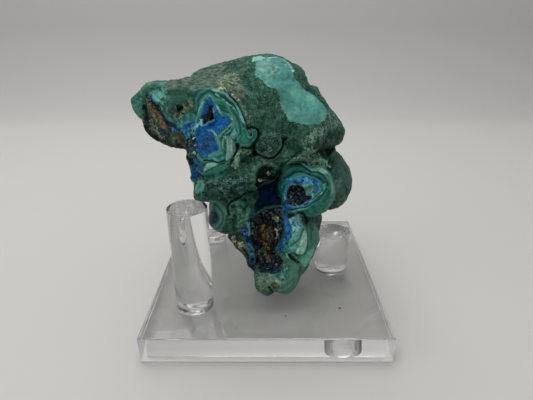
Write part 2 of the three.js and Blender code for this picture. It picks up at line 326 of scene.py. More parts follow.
        (15.6, 54.5), (18, 56.7), (19.2, 59)],
    "side_lobe": [(20, 52.5), (23.6, 55), (27.4, 53.6), (30.4, 49.4), (32, 44.5), (31.5, 40), (28.6, 36.6),
        (24.3, 35), (21.4, 35.6), (22.3, 39.8), (23.4, 43.7), (22.5, 48.5)],
    "dark_lobe": [(15, 51.5), (17.5, 53.4), (20.6, 55.3), (23.4, 56), (25.4, 55.7), (25.6, 54.2),
        (24, 52.8), (21.6, 51.9), (19.1, 50.8), (15, 49.2), (13.9, 49.5)],
    "lip_dust": [(-8.1, 60.2), (-6.9, 59.6), (-5.8, 58.4), (-5, 56.9), (-4.8, 55.4), (-5.6, 54.9),
        (-6.3, 56.4), (-7.1, 57.9), (-8, 59.2)],
    "disc": [(-3, 50.2), (-1.6, 51), (0.1, 51.2), (2.1, 51), (3.9, 50.4), (4.2, 49.4), (3.5, 48),
        (2.1, 46.6), (0.4, 46.3), (-1.3, 46.8), (-2.8, 48), (-3.4, 49)],
    "disc_pit": [(4.5, 51.4), (5.3, 51.7), (6, 51.3), (5.4, 50.8), (4.9, 49.8), (4.4, 50.3)],
    "nook": [(-3.5, 49.9), (-3.9, 48.7), (-4.2, 47.4), (-3.4, 46.6), (-2.5, 46.6), (-2.8, 48),
        (-3.3, 48.8)],
    "cream_ledge": [(-7.8, 48), (-6.3, 48.3), (-4.7, 48), (-3.6, 47.8), (-4.2, 47.2), (-5.9, 47.1),
        (-7.5, 47.1)],
    "dust_fan": [(9.2, 46.1), (10.8, 47.8), (12.7, 48.9), (14.5, 48.4), (17, 47.4), (19.2, 45.7),
        (21.1, 45), (18, 43.5), (15.6, 43.5), (13.5, 44.1), (11.2, 45.3)],
    # a recess between the right lobes, painted dark as painted shade
    "cave_shade": [(14.3, 49.1), (17.9, 50.3), (21.4, 51.4), (22.7, 51.6), (22.6, 50.3), (19.7, 47.2),
        (18.8, 46.3), (17.7, 47.5), (16.5, 49.1)],
    # the finger and what is under it
    "finger": [(-19.3, 34), (-20, 35.2), (-18.6, 36.2), (-17.8, 37.2), (-17.7, 37.9), (-16.4, 38.8),
        (-14, 39.1), (-11.7, 39.9), (-8.8, 40.5), (-5.9, 40.4), (-4.2, 39.3), (-3.1, 38), (-3.2, 37.5),
        (-4, 36.6), (-5.7, 36.1), (-7.2, 35), (-8.9, 33.9), (-10.7, 33.2), (-11.6, 32), (-13.4, 33),
        (-15.1, 33.6), (-17.4, 33.3)],
    "finger_tip": [(-20, 40.9), (-19.3, 40.4), (-18.6, 39.3), (-18, 38.1), (-17.8, 37.2), (-18.6, 36.4),
        (-19.5, 35.7), (-20.1, 35.3), (-20.8, 35.8), (-21, 37), (-20.7, 37.8), (-20.6, 39.1),
        (-20.5, 40.1)],
    "finger_slick": [(-16.9, 35.8), (-15.8, 36.5), (-14.3, 36.1), (-13.9, 34.9), (-14.9, 33.8), (-16.5, 34),
        (-17.1, 34.9)],
    "finger_sheen": [(-12.3, 39), (-10.6, 39.7), (-8.3, 39.8), (-5.9, 39.8), (-6.8, 38.9), (-9.1, 38.6),
        (-11.1, 38.1)],
    "peach_spot": [(-4.3, 37.2), (-3.4, 37.3), (-3.1, 37.1), (-3.9, 36.7), (-4.4, 36.7)],
    "olive_lobe": [(-11.3, 30.8), (-11, 32), (-10.1, 32.9), (-8, 33.9), (-6.3, 35.1), (-4.8, 35.8),
        (-3.7, 35.5), (-2.9, 34.4), (-3.7, 32.5), (-4.5, 30.7), (-5.2, 28.5), (-5.8, 26.7), (-7.1, 25.4),
        (-8.4, 24.5), (-9.3, 23.4), (-11.2, 23.4), (-12.6, 24.5), (-12.6, 26.8), (-11.7, 28.9)],
    "olive_eye": [(-10.7, 31.8), (-9.9, 32.1), (-9.5, 31.5), (-10.1, 30.9), (-10.7, 31.2)],
    "olive_patch": [(-7.7, 33.9), (-6.6, 34.2), (-6.1, 33.3), (-6.9, 32.9), (-7.7, 33.2)],
    "banded_heel": [(-17.3, 33.3), (-15.2, 33.6), (-13.4, 32.9), (-12, 31.7), (-11.9, 29.6), (-12.6, 27.1),
        (-13, 24.8), (-15.1, 23.5), (-16.8, 24.1), (-18, 25.9), (-18.5, 28.1), (-18.1, 30.7)],
    "heel_lime": [(-16.4, 32.9), (-15.8, 32.9), (-15.5, 31.3), (-15.9, 30.1), (-16.9, 30.3), (-17.2, 31.6)],
    "navy_spot": [(-17.7, 29.2), (-16.5, 29.9), (-15.6, 29.2), (-15.5, 27.9), (-16.4, 26.6), (-17.7, 26.3),
        (-18.2, 27.6)],
    "heel_teal": [(-13.4, 25.4), (-12.1, 26.1), (-10.9, 25.5), (-11.2, 23.8), (-12.8, 22.7), (-14.1, 23.6)],
    "heel_shadow": [(-10.4, 27.7), (-9.4, 27.4), (-9.3, 25.5), (-10, 23.5), (-10.7, 24.5), (-10.6, 26.5)],
    "under_navy": [(-12.8, 22.4), (-11.9, 22), (-11.2, 20.9), (-12.2, 19.7), (-13.1, 20.6)],
    "column_tan": [(-11.9, 21.7), (-10.1, 22.2), (-8.4, 20.3), (-6.7, 17.4), (-5.9, 15.1), (-6.4, 12.5),
        (-8, 15.2), (-9.7, 17.3), (-11.3, 19.2)],
    "tan_cream": [(-11.4, 21.4), (-10.6, 21.5), (-10, 19.9), (-11, 19.2), (-11.7, 20.1)],
    "tan_cream_b": [(-9.7, 18.9), (-8.2, 19.7), (-7.7, 18.8), (-8.8, 17.9)],
    # the hollow and its roof
    "navy_hollow": [(-2.8, 38.9), (-1.3, 39.3), (1, 39.3), (3.3, 39.5), (4.1, 37.8), (4.3, 35.3),
        (4.7, 33.2), (4.2, 32.1), (1.7, 31.6), (-0.2, 31.6), (-1.4, 31.1), (-3, 30.2), (-3.9, 29.4),
        (-3.5, 31.9), (-2.9, 33.9), (-2.6, 35.5), (-3, 37.4)],
    "hollow_glow": [(-1.5, 35.7), (0.5, 36.2), (2.4, 35.7), (3, 34.1), (1.7, 32.6), (-0.8, 32.7),
        (-1.8, 34.1)],
    "hollow_blue": [(-0.2, 31.9), (-1.7, 30.7), (-3, 29.6), (-3.9, 28.6), (-5.1, 28.2), (-5.4, 28.9),
        (-4.4, 29.8), (-3.5, 31), (-2.2, 31.7)],
    "roof": [(-3.1, 37.6), (-2.9, 40.7), (-2.2, 42.4), (-1.3, 43.3), (0.4, 43.5), (2.5, 42.8), (4.5, 42.5),
        (3.9, 40.9), (3.9, 39.5), (1, 39.5), (-1.3, 39.5), (-2.5, 38.9)],
    "roof_black": [(-2.4, 40.4), (-2, 42.2), (-1.1, 43.2), (0.4, 43.3), (0.4, 42.2), (-0.7, 41.3),
        (-1.5, 40.2)],
    "roof_cream": [(0, 41.9), (0.4, 42.1), (0.9, 41.2), (0.4, 40.9)],
    "roof_cream_b": [(-2.6, 39.6), (-1.9, 40), (-1.6, 39.3), (-2.3, 39)],
    "roof_moss": [(1.6, 42.5), (3.3, 42.8), (3.9, 42.1), (2.8, 40.6), (1.8, 41.1)],
    # the eye
    "eye_face": [(4.5, 42.1), (5.7, 43.7), (7.1, 44.6), (9, 45.2), (11.2, 44.8), (12.7, 43.3), (13.8, 42.6),
        (15.4, 42.8), (17.5, 43.4), (20.4, 43.6), (21.7, 41.9), (21.1, 39.4), (21.4, 37.6), (21.1, 35.6),
        (20.3, 33.5), (19.3, 31.6), (18.1, 30.7), (17.1, 29.2), (18.9, 27.1), (15.6, 27.6), (12.3, 28.6),
        (10.9, 29.6), (9.3, 29.4), (7.4, 29.4), (5.8, 30.6), (5, 32.5), (4.4, 34.7), (3.7, 37.2),
        (3.6, 39.4), (4.2, 40.9)],
    "eye_flat": [(20.7, 34.7), (19.5, 32.3), (17.8, 30.8), (17.1, 29.2), (18.9, 27.1), (15.6, 27.6),
        (12.4, 29.3), (12.8, 31.1), (14.5, 32.6), (16.2, 33.9), (17.6, 34.5)],
    "side_green": [(4.2, 39.1), (5.8, 39.3), (6.9, 39.7), (6.3, 38.2), (5.4, 36.7), (5.2, 35), (4.6, 34.7),
        (4, 37.1)],
    "crest_bright": [(15.7, 42.2), (17.1, 43.1), (18.6, 42.8), (19.3, 42), (17.6, 41.4), (16.3, 41.5)],
    "eye_ring": [(7.1, 39), (7.8, 40.2), (9, 41), (10.7, 41.2), (12.6, 40.8), (14.3, 40.1), (15.8, 39.1),
        (16.8, 37.6), (17.2, 36.2), (16.3, 35), (15.2, 33.8), (13.6, 32.4), (11.9, 31.3), (9.9, 30.5),
        (8.2, 29.6), (6.9, 29.9), (6, 31.6), (5.4, 33.5), (5.4, 35.5), (6, 37.4)],
    "eye_blue": [(7.8, 37.9), (7.5, 38.9), (8.9, 39.9), (10.1, 40.5), (11.5, 40.5), (12.9, 40.2),
        (14.1, 39.6), (15.2, 38.7), (15.8, 37.5), (15.2, 36.2), (14.4, 35.2), (13.6, 33.9), (13.1, 32.9),
        (11.6, 31.8), (9.6, 31.2), (7.7, 30.9), (6.3, 31.6), (5.7, 33.5), (6, 35.8), (6.9, 37.3)],
    "eye_green": [(7.8, 38), (9.2, 38.6), (10.4, 38.6), (11.2, 37.8), (12.4, 38.1), (13.2, 38.9),
        (13.8, 37.8), (13.8, 36.4), (14.4, 35.9), (13.6, 34.9), (13, 34.2), (11.9, 34.3), (11.4, 35.8),
        (11, 37), (9.8, 37.9), (8.6, 37.9)],
    "eye_sky": [(10.6, 39.9), (11.4, 40.2), (12, 39.6), (11.5, 38.5), (10.8, 38.7)],
    "eye_violet": [(13.6, 38.1), (14.1, 37.4), (15.1, 37.2), (15.2, 36.4), (14, 36.1), (13.6, 36.8)],
    "eye_core": [(6.9, 37.3), (8.1, 37.7), (9.5, 37.8), (10.7, 37.3), (11.6, 36.1), (11.6, 34.8),
        (12.4, 34.5), (13.3, 34.5), (12.8, 33.6), (11.6, 32.9), (10.8, 32.1), (9, 31.5), (7.8, 32),
        (6.7, 32.3), (5.9, 32.6), (6, 33.2), (6.7, 33.5), (6.2, 34.6), (6.3, 35.8)],
    "cyan_spot": [(5.3, 34.4), (5.7, 34.5), (5.8, 33.5), (5.4, 33.6)],
    "blue_patch": [(6.1, 31.9), (7.1, 31.8), (8.6, 31.3), (7.5, 30.6), (6.7, 30.3), (6.1, 31)],
    # the column
    "column_cavity": [(-5.1, 27.6), (-3.6, 28.1), (-2.4, 29.3), (-0.8, 30.1), (1.1, 30.8), (3, 31.3),
        (4.7, 31), (5, 29.1), (5.4, 26.6), (5.5, 24.6), (5.2, 22.7), (4.2, 20.4), (3.1, 17.9), (3, 16.3),
        (4.1, 15.2), (5.3, 13.8), (4.6, 12.3), (3.4, 11), (1.8, 10.2), (-0.5, 10.4), (-2.8, 11.2),
        (-3.7, 12.5), (-4, 15.5), (-4.5, 18.3), (-5.2, 21.1), (-5.3, 23.2), (-5.2, 25.6)],
    "rust_core": [(-2.9, 25.4), (-1.5, 25.9), (0.2, 25.9), (1.8, 25.3), (2.8, 23.9), (2.8, 21.6),
        (2.2, 19.1), (1.5, 17.1), (1.4, 14.8), (0.8, 15.1), (0.5, 16.8), (-0.6, 18), (-1.6, 19.8),
        (-2.3, 21.8), (-3.1, 23.7)],
    "rust_granular": [(-0.5, 23.8), (0.8, 24.5), (2.1, 23.2), (2.2, 21.2), (1.2, 19.1), (0, 20.1),
        (-0.6, 22.1)],
    "rust_low": [(-0.2, 14.4), (0.8, 14.9), (1.8, 14.2), (1.5, 12.9), (0.5, 12.5), (-0.3, 13.3)],
    "cream_streak": [(1.7, 27.9), (2.7, 28.3), (4, 28.4), (4, 27.3), (3.7, 25.9), (3.1, 26.4), (2.4, 27.3)],
    "cream_streak_b": [(3, 24.3), (4, 24.1), (4.1, 22.7), (3.9, 21.5), (3.5, 20.9), (3.1, 22.3)],
    "cream_low": [(-2.8, 17.3), (-2.2, 16.2), (-1.9, 14.4), (-1.3, 12.8), (-2.2, 12.8), (-2.9, 14.4),
        (-3, 16.1)],
    "cream_low_b": [(-0.8, 12), (-0.2, 11.6), (-0.3, 10.8)],
    "violet_patch": [(-5, 23.4), (-3.8, 23.4), (-2.9, 22.2), (-3.2, 20.7), (-4.4, 20.7), (-5.2, 22.1)],
    "chip_teal": [(2.8, 17.5), (3.6, 18), (4, 16.6), (3.8, 15.4), (3, 15.9)],
    "chip_green": [(-1.6, 17.4), (-0.3, 17.7), (0.4, 16.4), (-0.2, 14.7), (-1.2, 14.5)],
    "left_blue": [(-7.9, 24.4), (-6.4, 25.4), (-5.9, 24.6), (-6.2, 22.8), (-5.3, 21.2), (-4.8, 19),
        (-4.3, 17), (-3.9, 14), (-3.7, 12.1), (-4.9, 11.2), (-5.5, 12.7), (-5.1, 14.6), (-5.7, 17.1),
        (-6.3, 19.2), (-7, 20.8), (-8.3, 22.4)],
    "navy_flank": [(-7.8, 17.3), (-6.4, 16.9), (-5.8, 14.7), (-5.9, 12.5), (-4.9, 11.2), (-3.6, 11.1),
        (-3.9, 9.7), (-5.3, 10.4), (-6.4, 12.1), (-6.6, 14.8)],
    "base_blue": [(-3.6, 12.1), (-2.1, 11.5), (-0.2, 10.6), (1.8, 10.3), (3.7, 11.1), (5, 12.3),
        (5.3, 11.4), (4.3, 10.6), (1.8, 9.5), (-1.1, 9.9), (-3.1, 10.5)],
    "base_chip": [(0.2, 11.5), (1.2, 11.8), (1.8, 11.5), (0.8, 11)],
    "right_blue": [(5.4, 32.5), (6.1, 31.2), (6.8, 30.7), (6.4, 29.4), (6.7, 27.5), (7.4, 25.9),
        (7.8, 24.1), (7.4, 22.2), (6.7, 20.6), (5.3, 18.4), (4.7, 16.7), (4.9, 15.3), (4.3, 16.5),
        (4.1, 18.1), (4.7, 19.8), (5.6, 21.7), (5.9, 23.7), (5.8, 25.6), (5.5, 28.1), (5.2, 30.3)],
    "under_eye": [(6.7, 29.6), (8, 29.3), (9, 28.7), (7.7, 28), (6.7, 27.8)],
    # the lobes and shells at the right, and the tip
    "pale_lobe": [(6.9, 27.8), (8.3, 28.3), (9.7, 29), (10.9, 27.6), (11.5, 25.9), (12.4, 24.6),
        (12.9, 23.4), (13, 21.5), (13, 19.2), (12.6, 17.4), (11.6, 16.3), (10.2, 16.5), (9.2, 17.7),
        (8, 17.1), (6.9, 16.1), (6.3, 17.4), (6.8, 19.3), (7.3, 20.7), (7.8, 22.3), (7.9, 24.1),
        (7.4, 25.9)],
    "lobe_white": [(11.6, 24.1), (12.5, 23.1), (12.8, 20.9), (12.6, 18.3), (11.6, 16.7), (10.2, 16.5),
        (9.2, 17.5), (10.1, 19.2), (10.7, 21.1), (11, 22.6)],
    "lobe_sky": [(7.2, 27.5), (8.3, 28.1), (9.8, 28.8), (10.9, 27.5), (11.3, 25.6), (10.4, 24.3),
        (8.8, 23.8), (8, 25)],
    "curl": [(5.6, 17.3), (5.9, 18.7), (6.8, 19.4), (7.6, 19.1), (8.1, 18.1), (7.1, 17.2), (6.1, 16.6)],
    "outer_shell": [(12.9, 25.2), (14.1, 26.4), (15.6, 25.9), (17.2, 23.8), (17.8, 21.3), (17.6, 19.1),
        (16.3, 17), (15.2, 14.1), (13.8, 11.8), (12.3, 11.1), (11.2, 11.7), (10.1, 13.5), (8.8, 15.2),
        (10.7, 15.6), (12.1, 16), (12.9, 18.2), (13.1, 20.8), (12.9, 23.4)],
    "shell_pale": [(10.8, 15.1), (12.5, 16), (14.1, 17.3), (15.4, 18.2), (15.6, 16.4), (14.8, 14.2),
        (13.7, 12.6), (12.3, 11.4), (11.2, 12.8)],
    "lower_shell": [(5.9, 13.3), (7.9, 14.2), (9.5, 13.5), (10.8, 12.8), (11, 10.6), (11, 7.5), (10.6, 5),
        (8.8, 3.2), (6.5, 2), (4.5, 1.1), (2.8, 1.5), (1.5, 3), (0.5, 5.4), (1.8, 6.3), (3.1, 6.8),
        (5.3, 7.6), (6.5, 8.6), (7.2, 10.4), (6.9, 12.3)],
    "cyan_slip": [(4.3, 8.4), (4.9, 10.2), (5.9, 11.4), (6.9, 12), (6.5, 10.5), (5.6, 9.1), (4.6, 8.1)],
    "base_teal": [(-3, 10.4), (-1.5, 10.1), (0.2, 9.7), (2.4, 9.5), (4.6, 10.3), (4.8, 9.5), (2.7, 8.7),
        (0.2, 9.1), (-2.8, 9)],
    "tip_left": [(-3.1, 6.7), (-2.1, 7), (-0.8, 6.4), (0.8, 5), (1.8, 2.1), (0.5, 1.7), (-1.2, 1.8),
        (-2.5, 2.8), (-3.4, 4.2)],
    "tip_tan": [(-2.8, 8.9), (-0.5, 9), (0.5, 9), (2.1, 9.4), (3.7, 8.5), (4, 7.7), (5.3, 7.6), (6.6, 7.2),
        (4.7, 5.8), (3.1, 4.5), (1.8, 5.2), (0.5, 6.2), (0.2, 4.7), (-1.5, 4.7), (-2.4, 6), (-3, 7.4)],
    "tip_mint": [(0.7, 9), (2.1, 9.3), (3.4, 8.6), (4, 7.9), (5.3, 7.5), (6.2, 7.1), (4.6, 6.8), (2.7, 6.9),
        (1.1, 7.7)],
    "tip_spot": [(-1.3, 7.5), (-0.4, 7.3), (-0.7, 6.7), (-1.3, 7)],
}

# Open strokes on the show side: the points of the curve, in mm, and the width of the stroke.
STROKES = {
    # the arm
    "arm_fringe": ([(-28.7, 64), (-27.5, 62.9), (-27.8, 61.4), (-29.5, 60.8)], 1),
    "arm_streak": ([(-33, 63), (-32, 62), (-31, 60.7)], 0.5),
    "wave": ([(-30.7, 60.5), (-29.4, 59.1), (-28.7, 57.8), (-27.6, 56.5), (-26.5, 55.6), (-25.7, 54.8),
        (-24.6, 54.1), (-23.3, 54.4), (-22.4, 55.1), (-21, 55.1), (-19.2, 55.3)], 0.8),
    "tan_ribbon": ([(-33.5, 57.1), (-32.8, 55.3), (-31.9, 53.4), (-30.8, 51.7), (-28.5, 50.5)], 1.1),
    "dark_edge": ([(-35.2, 54.6), (-33.6, 52.4), (-31.6, 50.7), (-28.9, 49.1)], 1.1),
    "brown_base": ([(-31, 50.9), (-27.2, 50.2), (-23.6, 49.5)], 1.4),
    "indigo": ([(-28.7, 55.8), (-27.4, 53.9), (-24.9, 53.6), (-23.2, 52.9), (-22.8, 51.6)], 0.8),
    # the star
    "star_hem": ([(-18.9, 56), (-17.9, 58.2), (-16.6, 59.8), (-15.2, 60.7), (-14.4, 60.6), (-13.7, 59.5),
        (-13, 58.1), (-12.4, 57), (-11.2, 56.5), (-9.8, 56.2), (-9.3, 55.4)], 0.55),
    "hem_low": ([(-9.4, 54.1), (-10.5, 53.1), (-11.9, 51.9)], 0.45),
    "hem_low_dark": ([(-9.7, 53.4), (-10.8, 52.5), (-12, 51.4)], 0.3),
    "hem_low_pale": ([(-10, 52.4), (-11.7, 51.5)], 0.45),
    "crescent": ([(-15.8, 52.7), (-14.7, 52.4), (-13.9, 51.1)], 0.5),
    "vug_streak": ([(-14.7, 58.4), (-14.3, 57.3), (-14.7, 56.2)], 0.35),
    "vug_sill": ([(-17.8, 54), (-16.8, 54.3), (-15.8, 54.9), (-14.5, 55.7)], 0.45),
    "rim_line": ([(-14, 62.3), (-11.7, 61.8), (-9.9, 60.7), (-8.4, 59.3), (-7.4, 57.6), (-6.8, 56.1),
        (-6.1, 54.4)], 0.7),
    "inner_line": ([(-13.3, 61.4), (-11.8, 60.3), (-10.5, 59.3), (-9.2, 58.5), (-8.2, 57.5)], 0.35),
    "rim_gap": ([(-12.3, 61.3), (-10.7, 60.1), (-9.3, 59)], 0.25),
    "rim_shadow": ([(-9.9, 61.2), (-8.1, 59.5), (-7, 57.7), (-6.2, 55.9), (-5.3, 53.7)], 0.35),
    "crust_lip": ([(-13.7, 63.3), (-11.6, 63), (-9.7, 62.1), (-8.2, 60.7), (-6.9, 59), (-5.8, 56.8),
        (-5.3, 55)], 1.4),
    "sliver_shelf": ([(-11.7, 51), (-9.8, 50.5), (-7.6, 50.4)], 0.35),
    "flap_shadow": ([(-5.3, 53.3), (-3.7, 53.7), (-2.4, 53.1), (-2.2, 51.6), (-3.4, 49.7), (-5, 48.3),
        (-6.9, 48.2)], 0.45),
    "skirt": ([(-16.2, 45.9), (-15.1, 45.3), (-14, 44.8), (-12.6, 45), (-12.1, 46.7), (-12.7, 48.2)], 0.8),
    "skirt_dark": ([(-17.8, 44.7), (-15.7, 44.7), (-13.8, 44.1), (-11.7, 44.8)], 0.35),
    "facet_edge": ([(-18.3, 39.5), (-15.5, 39.3), (-13.5, 39.7), (-11.7, 40.9)], 0.35),
    # the crown
    "cap_rim": ([(0.4, 75.6), (2.5, 76.1), (4.6, 76), (6.1, 74.8), (7.2, 73), (7.8, 71.1)], 0.7),
    "edge_dark": ([(11.3, 66.1), (13.5, 66.3), (15.3, 64.7), (17, 63.6), (18.8, 62)], 0.5),
    "disc_rim": ([(-3.1, 48.1), (-1.7, 47), (-0.4, 46.4), (1, 46.3), (2.2, 46.7), (3.3, 47.8), (4.1, 49),
        (4.3, 50.8)], 0.45),
    "disc_groove": ([(-3.7, 49.6), (-3.4, 48.4), (-2.4, 47.3), (-0.7, 46), (1.2, 45.8), (2.8, 46.6),
        (4.1, 48), (4.7, 49.4), (4.9, 51.3)], 0.55),
    "disc_scratch": ([(-0.6, 47.1), (0.2, 47.6), (1.1, 48.4)], 0.3),
    "disc_scratch_low": ([(-0.1, 46.7), (0.9, 47.3), (1.6, 47.9)], 0.3),
    "disc_crack": ([(-1.6, 47.4), (-0.6, 47.7), (0.3, 48.3)], 0.3),
    "fan_line": ([(10.9, 45.4), (12.1, 45), (13.7, 44.6)], 0.5),
    "ridge_pale": ([(11.4, 50.7), (13.4, 51.6), (15.3, 52.5), (17.7, 54.1)], 1.2),
    "crust_hem": ([(21.1, 45), (16.9, 46.4), (13.7, 44.8), (11.2, 45.9), (8.3, 45.5), (6.5, 44.6)], 1),
    "fold_line": ([(4.4, 43.8), (5.9, 44.7), (7.1, 45.5), (8.7, 47.1), (10.7, 48.4)], 0.4),
    # the finger
    "finger_cream": ([(-17.8, 38), (-17, 38.6), (-15.8, 39), (-14.3, 39.1)], 0.45),
    "finger_scar": ([(-13.2, 38.1), (-12.9, 36.8), (-12.3, 35.2)], 0.45),
    "finger_nick": ([(-10.2, 37), (-10.4, 36.4), (-9.9, 35.8)], 0.5),
    "finger_nick_b": ([(-9.7, 35.2), (-8.8, 35.5)], 0.4),
    "finger_nick_c": ([(-7.7, 37.9), (-6.4, 38.4)], 0.35),
    "finger_nick_d": ([(-13.4, 34.5), (-13.2, 33.8)], 0.4),
    "finger_groove": ([(-11.1, 28.8), (-11.7, 30.3), (-11.6, 31.7), (-10.7, 33), (-9.2, 33.8), (-7.7, 34.6),
        (-6.6, 35.5), (-5.4, 36.1), (-4, 36.4)], 0.4),
    "olive_shade": ([(-9.6, 28.9), (-9.4, 27.7), (-9.6, 26.5), (-10.1, 24.5)], 0.9),
    "olive_edge": ([(-5.5, 31.3), (-5.5, 29.5), (-6.3, 27.6), (-8.2, 26.4), (-8.8, 23.7)], 0.6),
    "heel_blue": ([(-17.3, 33.1), (-17.9, 31.7), (-17.9, 30)], 0.6),
    "hollow_rim": ([(-3, 36.9), (-2.6, 35.4), (-3.2, 33.9), (-3.7, 32.7)], 0.6),
    # the eye
    "blue_hem": ([(-1.1, 30.3), (0.5, 30.9), (2, 31.5), (4.2, 32), (5.9, 32.4)], 0.5),
    "eye_outer": ([(4.8, 42.4), (6.3, 43.6), (7.8, 44), (9.9, 44), (11.5, 43), (12.7, 41.8), (14.1, 41.3),
        (16, 41.1), (17.4, 39.9), (18.1, 38.4), (18.3, 36.7), (18, 35.2)], 1.2),
    "crest": ([(11.3, 44.3), (12.5, 43), (13.7, 42.4), (15.3, 42.6), (17, 42.9), (18.2, 42), (19.5, 41.2),
        (19.7, 39.5), (19.7, 37.6), (19.6, 35.8)], 0.8),
    "eye_dark_a": ([(7.2, 44.2), (9.3, 44.5), (10.8, 44), (12, 42.6), (13.3, 41.6), (15.1, 41.4),
        (16.5, 40.5), (17.4, 39.1), (17.8, 37.5)], 0.45),
    "eye_dark_b": ([(5.3, 40.3), (6.7, 40.6), (8.1, 41.6), (9.6, 41.9), (11.2, 41.5), (12.9, 40.8),
        (14.5, 40.3), (15.9, 39.4), (16.8, 38.4)], 0.5),
    "ring_pale": ([(16.8, 38.2), (17, 37.2), (17, 36.3)], 0.5),
    "ring_mint": ([(16.3, 35.5), (15.2, 34.2), (13.6, 32.7), (11.9, 31.5), (9.9, 30.7), (8.1, 29.9),
        (7.1, 29.8)], 0.6),
    "ring_dark": ([(15.7, 34.8), (14.5, 33.6), (13.1, 32.3), (11.5, 31.3), (9.3, 31), (7.5, 30.4)], 0.45),
    "eye_azure": ([(7.6, 39.4), (6.6, 37.9), (5.9, 36.5), (5.6, 35)], 0.55),
    "side_blue": ([(5.5, 40), (6.6, 39.7), (7.3, 40.1)], 0.5),
    "core_sliver": ([(7.3, 35.2), (7.5, 34.1), (8.1, 32.8)], 0.7),
    "core_glint": ([(10.1, 33.8), (11, 33.9)], 0.4),
    "core_glint_b": ([(11.2, 32.6), (12.2, 33.3)], 0.35),
    "core_glint_c": ([(9, 34.6), (9.6, 35.1)], 0.4),
    "cyan_lip": ([(8.2, 31.3), (9.6, 31.5), (11, 31.7)], 0.5),
    "eye_shade": ([(17.4, 36.8), (16.4, 34.9), (15.2, 33.6), (13.8, 32.8)], 0.6),
    # a painted shadow in the gap below the eye
    "eye_gap_shadow": ([(9.7, 29.7), (11, 29.3), (12.8, 27.4), (12.7, 26.1)], 0.8),
    # the column and the shells
    "cavity_teal": ([(4.8, 30.3), (4.7, 28.5), (4.9, 26.2)], 0.6),
    "rust_streak": ([(-1, 25.2), (-1.4, 23.2), (-0.8, 20.6)], 0.7),
    "rust_streak_b": ([(-2.6, 20.5), (-1.5, 19.6), (-0.2, 18.5), (0.5, 17.2)], 0.7),
    # painted highlights along the blue at the left of the column
    "left_cyan": ([(-5.6, 26.3), (-5.5, 24.1), (-5.6, 22.2)], 0.6),
    "left_glint": ([(-4.9, 18.7), (-4.4, 17), (-4, 14.4), (-3.7, 12.5)], 0.5),
    "lobe_line": ([(11.5, 24.5), (10.7, 22.9), (10.1, 21.5), (8.8, 20.3), (7.5, 19.2)], 0.6),
    "curl_line": ([(5, 17), (5.3, 15.1), (6.4, 13.4)], 0.5),
    "white_slip": ([(6.4, 16.3), (6.9, 15.1), (7.5, 14.4)], 0.5),
    "shell_crack": ([(7.2, 15.9), (7.9, 15.2), (9.1, 14.1), (10.3, 13.4)], 0.7),
    "crack_edge": ([(8.1, 16.5), (9.5, 14.9), (10.6, 13.7)], 0.35),
    "shell_line": ([(12.9, 23.7), (13, 20.8), (12.8, 18.2)], 0.4),
    "tip_seam": ([(1.8, 6.2), (2.8, 4.8), (3.8, 5.4)], 0.6),
    "tip_groove": ([(0.7, 5.4), (1.7, 4), (2.4, 1.8)], 0.6),
    "lobe_side": ([(11, 12.8), (11.9, 11.2), (12.2, 8.2), (11.5, 6)], 0.7),
}

# Shapes that share one finish.
GROUPS = {
    "black_bits": ["frost_spot_a", "frost_spot_b", "flank_black", "flank_black_b", "disc_pit", "roof_black",
        "finger_nick", "finger_nick_b", "finger_nick_c", "finger_nick_d", "left_dark", "left_dark_low",
        "rust_nick"],
    "black_lines": ["dark_edge", "rim_gap", "rim_shadow", "hem_low_dark", "skirt_dark", "flap_shadow",
        "disc_crack"],
    "deep_lines": ["eye_dark_a", "eye_dark_b", "ring_dark", "eye_shade", "edge_dark", "fold_line",
        "tip_groove"],
    "green_lines": ["shell_line", "curl_line", "lobe_line", "facet_edge"],
    "mint_lines": ["inner_line", "hem_low", "hem_low_pale", "crescent", "vug_streak", "vug_sill",
        "sliver_shelf", "ring_mint", "ring_pale", "white_slip", "crack_edge"],
    "grey_lines": ["disc_rim", "disc_scratch", "disc_scratch_low", "finger_cream", "finger_scar",
        "hollow_rim"],
    "rusty_lines": ["fan_line", "tip_seam", "tip_spot", "peach_spot", "cream_knob"],
    "rust_streaks": ["rust_streak", "rust_streak_b", "rust_low"],
    "cream_bits": ["lip_cream", "lip_cream_low", "roof_cream", "roof_cream_b", "tan_cream", "tan_cream_b",
        "cream_streak", "cream_streak_b", "cream_low", "cream_low_b"],
    "sky_bits": ["cyan_spot", "cyan_lip", "eye_sky", "base_chip", "left_cyan", "left_glint"],
    "azure_bits": ["arm_streak", "blue_bit_upper", "blue_bit_lower", "indigo", "eye_azure", "side_blue",
        "blue_patch"],
    "dull_blues": ["heel_blue", "hollow_blue", "blue_hem"],
    "navy_bits": ["navy_corner", "under_navy", "violet_patch", "under_eye"],
    "slate_bits": ["eye_violet", "chip_teal", "cavity_teal", "core_sliver"],
    "glints": ["core_glint", "core_glint_b", "core_glint_c"],
    "dusty": ["lip_dust", "ridge_pale"],
    "olive_shades": ["olive_eye", "olive_patch", "olive_shade", "heel_shadow"],
    "caps": ["cap", "cap_rim", "crest_bright"],
    "patch_marks": ["patch_shade", "patch_moss"],
}

# Lumps that fill gaps between the lobes: centre and radius, in mm.
LUMPS = [((-3.6, -6, 43.2), 2.4), ((20.5, 5, 52.5), 3.8)]

